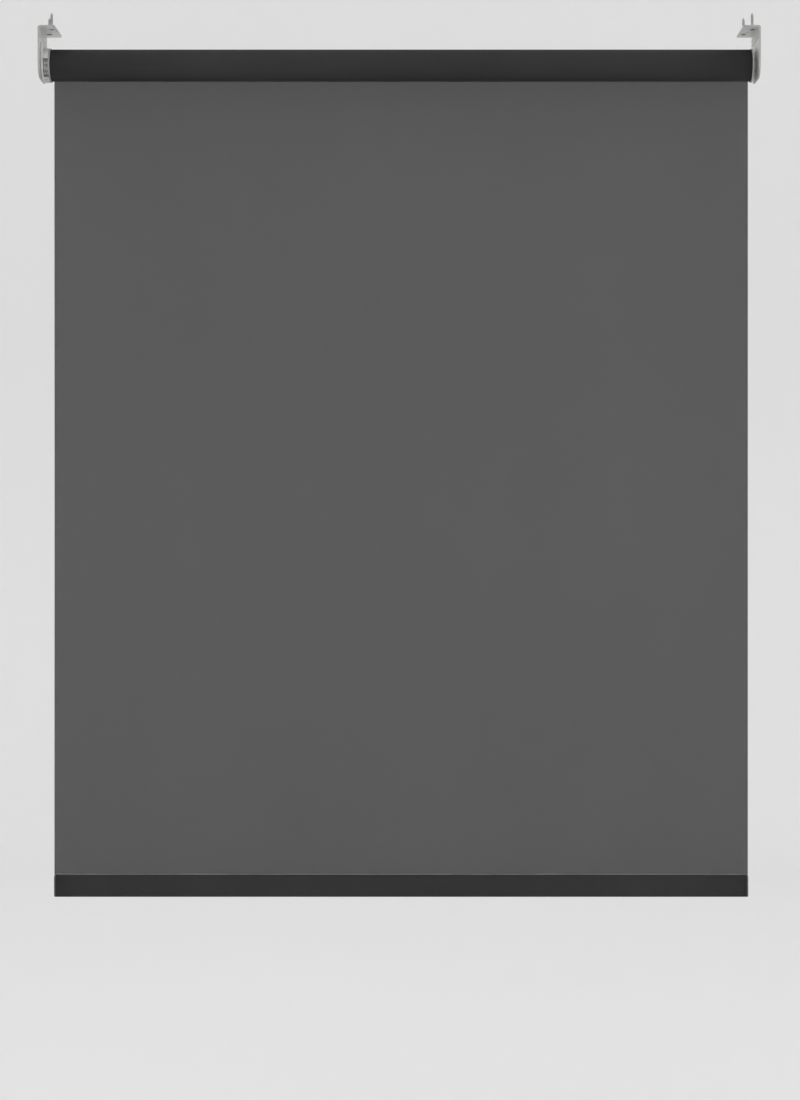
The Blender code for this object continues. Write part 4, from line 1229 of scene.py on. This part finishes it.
class BLIND_OT_hem(bpy.types.Operator):
    """Wrap the fabric round the hem bar, weld its seam and close its ends"""

    bl_idname = "blind.hem"
    bl_label = "Hem"

    def execute(self, context):
        settings = context.scene.blind
        self.pocket(settings.cloth)
        self.seam(settings.cloth)
        self.caps(settings.hardware)
        repaint(aluminium_look(settings.hardware), "hem_bar")
        return {"FINISHED"}

    def pocket(self, cloth_settings):
        """One layer from the seam's front, round the bar and back up to the seam."""
        height = WRAP_TOP - POCKET_LOW.z - cloth_settings.thickness
        middle = (WRAP_TOP + POCKET_LOW.z) / 2
        radius = (POCKET_HIGH.y - POCKET_LOW.y - cloth_settings.thickness) / 2
        rise = height / 2 - radius
        front = arc((0, rise), radius, 94, 180, 16)
        below = arc((0, -rise), radius, 180, 360, 32)
        back = arc((0, rise), radius, 0, 86, 16)
        neck = 0.00025
        seam = height / 2 + 0.0008
        outline = [(-neck, seam)] + front + below + back + [(neck, seam)]
        path = [(y + POCKET_MIDDLE.y, z + middle) for y, z in outline]
        bm, run = ribbon(path, POCKET_LOW.x, POCKET_HIGH.x, 24)
        look = cloth("wound_charcoal_cloth", cloth_settings, "wound", 0.0)
        pocket = thicken(make("hem_wrap", bm, look, 60.0), cloth_settings.thickness)
        settle(pocket, "hem", "charcoal_fabric", "hem_pocket")

    def seam(self, cloth_settings):
        """Narrow welded band where the wrap meets the hanging fabric, slightly wavy on its upper edge."""
        half, rim, inset = 0.00062, 0.0003, 0.0006
        low, high = WRAP_TOP - 0.0001, WRAP_TOP + cloth_settings.weld
        start, end = DROP_LOW.x + inset, DROP_HIGH.x - inset
        bm = block((start, POCKET_MIDDLE.y - half, low), (end, POCKET_MIDDLE.y + half, high))

        def lengthways():
            return [e for e in bm.edges if abs(e.verts[0].co.x - e.verts[1].co.x) > half]

        round_edges(bm, lengthways(), rim, 3)
        bmesh.ops.subdivide_edges(bm, edges=lengthways(), cuts=120, use_grid_fill=True)
        for vert in bm.verts:
            lift = max(0.0, (vert.co.z - low) / (high - low))
            wave = math.sin(vert.co.x * 41) + 0.6 * math.sin(vert.co.x * 97 + 1.3)
            vert.co.z += 0.00022 * lift * wave
        band = make("hem_seam", bm, pressed_seam(cloth_settings))
        settle(band, "hem", "charcoal_fabric")

    def caps(self, hardware):
        for side, way in (("left", 1), ("right", -1)):
            low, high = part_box(f"bar_cap_{side}")
            outer = low.x if way == 1 else high.x
            rim = oval(high.z - low.z, high.y - low.y, 24)
            wall = 2 * (BAR_WALL + GAP)
            inner = oval(BAR_HIGH.z - BAR_LOW.z - wall, BAR_HIGH.y - BAR_LOW.y - wall, 16)
            start = outer + way * BAR_CAP / 2
            reach = way * (high.x - low.x - BAR_CAP / 2)
            place = (0, POCKET_MIDDLE.y, POCKET_MIDDLE.z)
            plate = along_x(rim, outer, way * BAR_CAP, hardware.rounding, place)
            bm = worked(plate, ("UNION", along_x(inner, start, reach, hardware.rounding, place)))
            cap = even_normals(make(f"moulded_bar_cap_{side}", bm, cap_look(hardware)))
            settle(cap, "hem", "cap_charcoal", f"bar_cap_{side}")


# ---- stage ----
def studio_look(stage):
    """Pale matt paint, very slightly uneven."""
    look, graph, shader, here = new_look("studio_paint")
    cloudy = graph.noise(here, 0.8, 2)
    shown = graph.mix(cloudy, tone(stage.pale, 0.985), tone(stage.pale, 1.01))
    feed(graph, shader, Base_Color=shown)
    shader.inputs["Roughness"].default_value = 0.9
    shader.inputs["Specular IOR Level"].default_value = 0.1
    return look


class BLIND_OT_stage(bpy.types.Operator):
    """Set the floor, the soft lights and the camera"""

    bl_idname = "blind.stage"
    bl_label = "Stage"

    def execute(self, context):
        stage = context.scene.blind.stage
        self.studio(stage)
        self.lights(context, stage)
        self.camera(context, stage)
        return {"FINISHED"}

    def studio(self, stage):
        """A round floor that curves up into a wall."""
        cove = 2.0
        floor = -stage.floor_drop
        profile = [(0, floor)] + arc((stage.bowl - cove, floor + cove), cove, -90, 0, 24)
        profile += [(stage.bowl, floor + stage.wall)]
        bm = bmesh.new()
        chain = [bm.verts.new((r, 0, z)) for r, z in profile]
        for a, b in zip(chain, chain[1:]):
            bm.edges.new((a, b))
        bmesh.ops.spin(bm, geom=bm.verts[:] + bm.edges[:], cent=ORIGIN, axis=(0, 0, 1), angle=math.tau,
                       steps=96, use_merge=True)
        bmesh.ops.remove_doubles(bm, verts=bm.verts[:], dist=1e-5)
        make("studio_floor", bm, studio_look(stage), 80.0)

    def lights(self, context, stage):
        world = bpy.data.worlds.new("studio_air")
        world.use_nodes = True
        world.node_tree.nodes["Background"].inputs["Color"].default_value = (1, 1, 1, 1)
        world.node_tree.nodes["Background"].inputs["Strength"].default_value = stage.ambient
        context.scene.world = world
        for name, power, size, place in (
            ("key", stage.key, 2.6, (-1.6, -2.2, 3.2)),
            ("fill", stage.key * 0.5, 3.0, (3.2, -1.8, 2.2)),
            ("low", stage.key * 2.5, 2.4, (0.4, -4.6, -1.1)),
        ):
            lamp = bpy.data.lights.new(name, "AREA")
            lamp.energy = power
            lamp.size = size
            item = bpy.data.objects.new(name, lamp)
            item.location = place
            aim = Vector((0, 0, -0.5)) - Vector(place)
            item.rotation_euler = aim.to_track_quat("-Z", "Y").to_euler()
            context.scene.collection.objects.link(item)

    def camera(self, context, stage):
        data = bpy.data.cameras.new("camera")
        data.lens = stage.lens
        data.sensor_width = 36
        data.clip_end = 60
        item = bpy.data.objects.new("camera", data)
        item.location = stage.camera_place
        item.rotation_euler = (math.pi / 2, 0, 0)
        context.scene.collection.objects.link(item)
        context.scene.camera = item
        context.scene.view_settings.view_transform = "Standard"


# ---- panel and registration ----
OPERATORS = (
    BLIND_OT_brackets,
    BLIND_OT_ceiling_screws,
    BLIND_OT_winder_guard,
    BLIND_OT_bead_wheel,
    BLIND_OT_clutch,
    BLIND_OT_tube_adapter,
    BLIND_OT_tube,
    BLIND_OT_idle_end,
    BLIND_OT_wound_fabric,
    BLIND_OT_hanging_fabric,
    BLIND_OT_hem,
    BLIND_OT_stage,
)


class BLIND_PT_panel(bpy.types.Panel):
    """Lists the blind's settings and the operators that build it"""

    bl_idname = "BLIND_PT_panel"
    bl_label = "Roller Blind"
    bl_space_type = "VIEW_3D"
    bl_region_type = "UI"
    bl_category = "Blind"

    def draw(self, context):
        for group in (context.scene.blind.cloth, context.scene.blind.hardware, context.scene.blind.stage):
            box = self.layout.box()
            for key in group.__annotations__:
                box.prop(group, key)
        for operator in OPERATORS:
            self.layout.operator(operator.bl_idname)


CLASSES = (BlindCloth, BlindHardware, BlindStage, BlindSettings) + OPERATORS + (BLIND_PT_panel,)


def register():
    for item in CLASSES:
        bpy.utils.register_class(item)
    bpy.types.Scene.blind = bpy.props.PointerProperty(type=BlindSettings)


def unregister():
    del bpy.types.Scene.blind
    for item in reversed(CLASSES):
        bpy.utils.unregister_class(item)


def main():
    register()
    for operator in OPERATORS:
        group, name = operator.bl_idname.split(".")
        getattr(getattr(bpy.ops, group), name)()


if __name__ == "__main__":
    main()
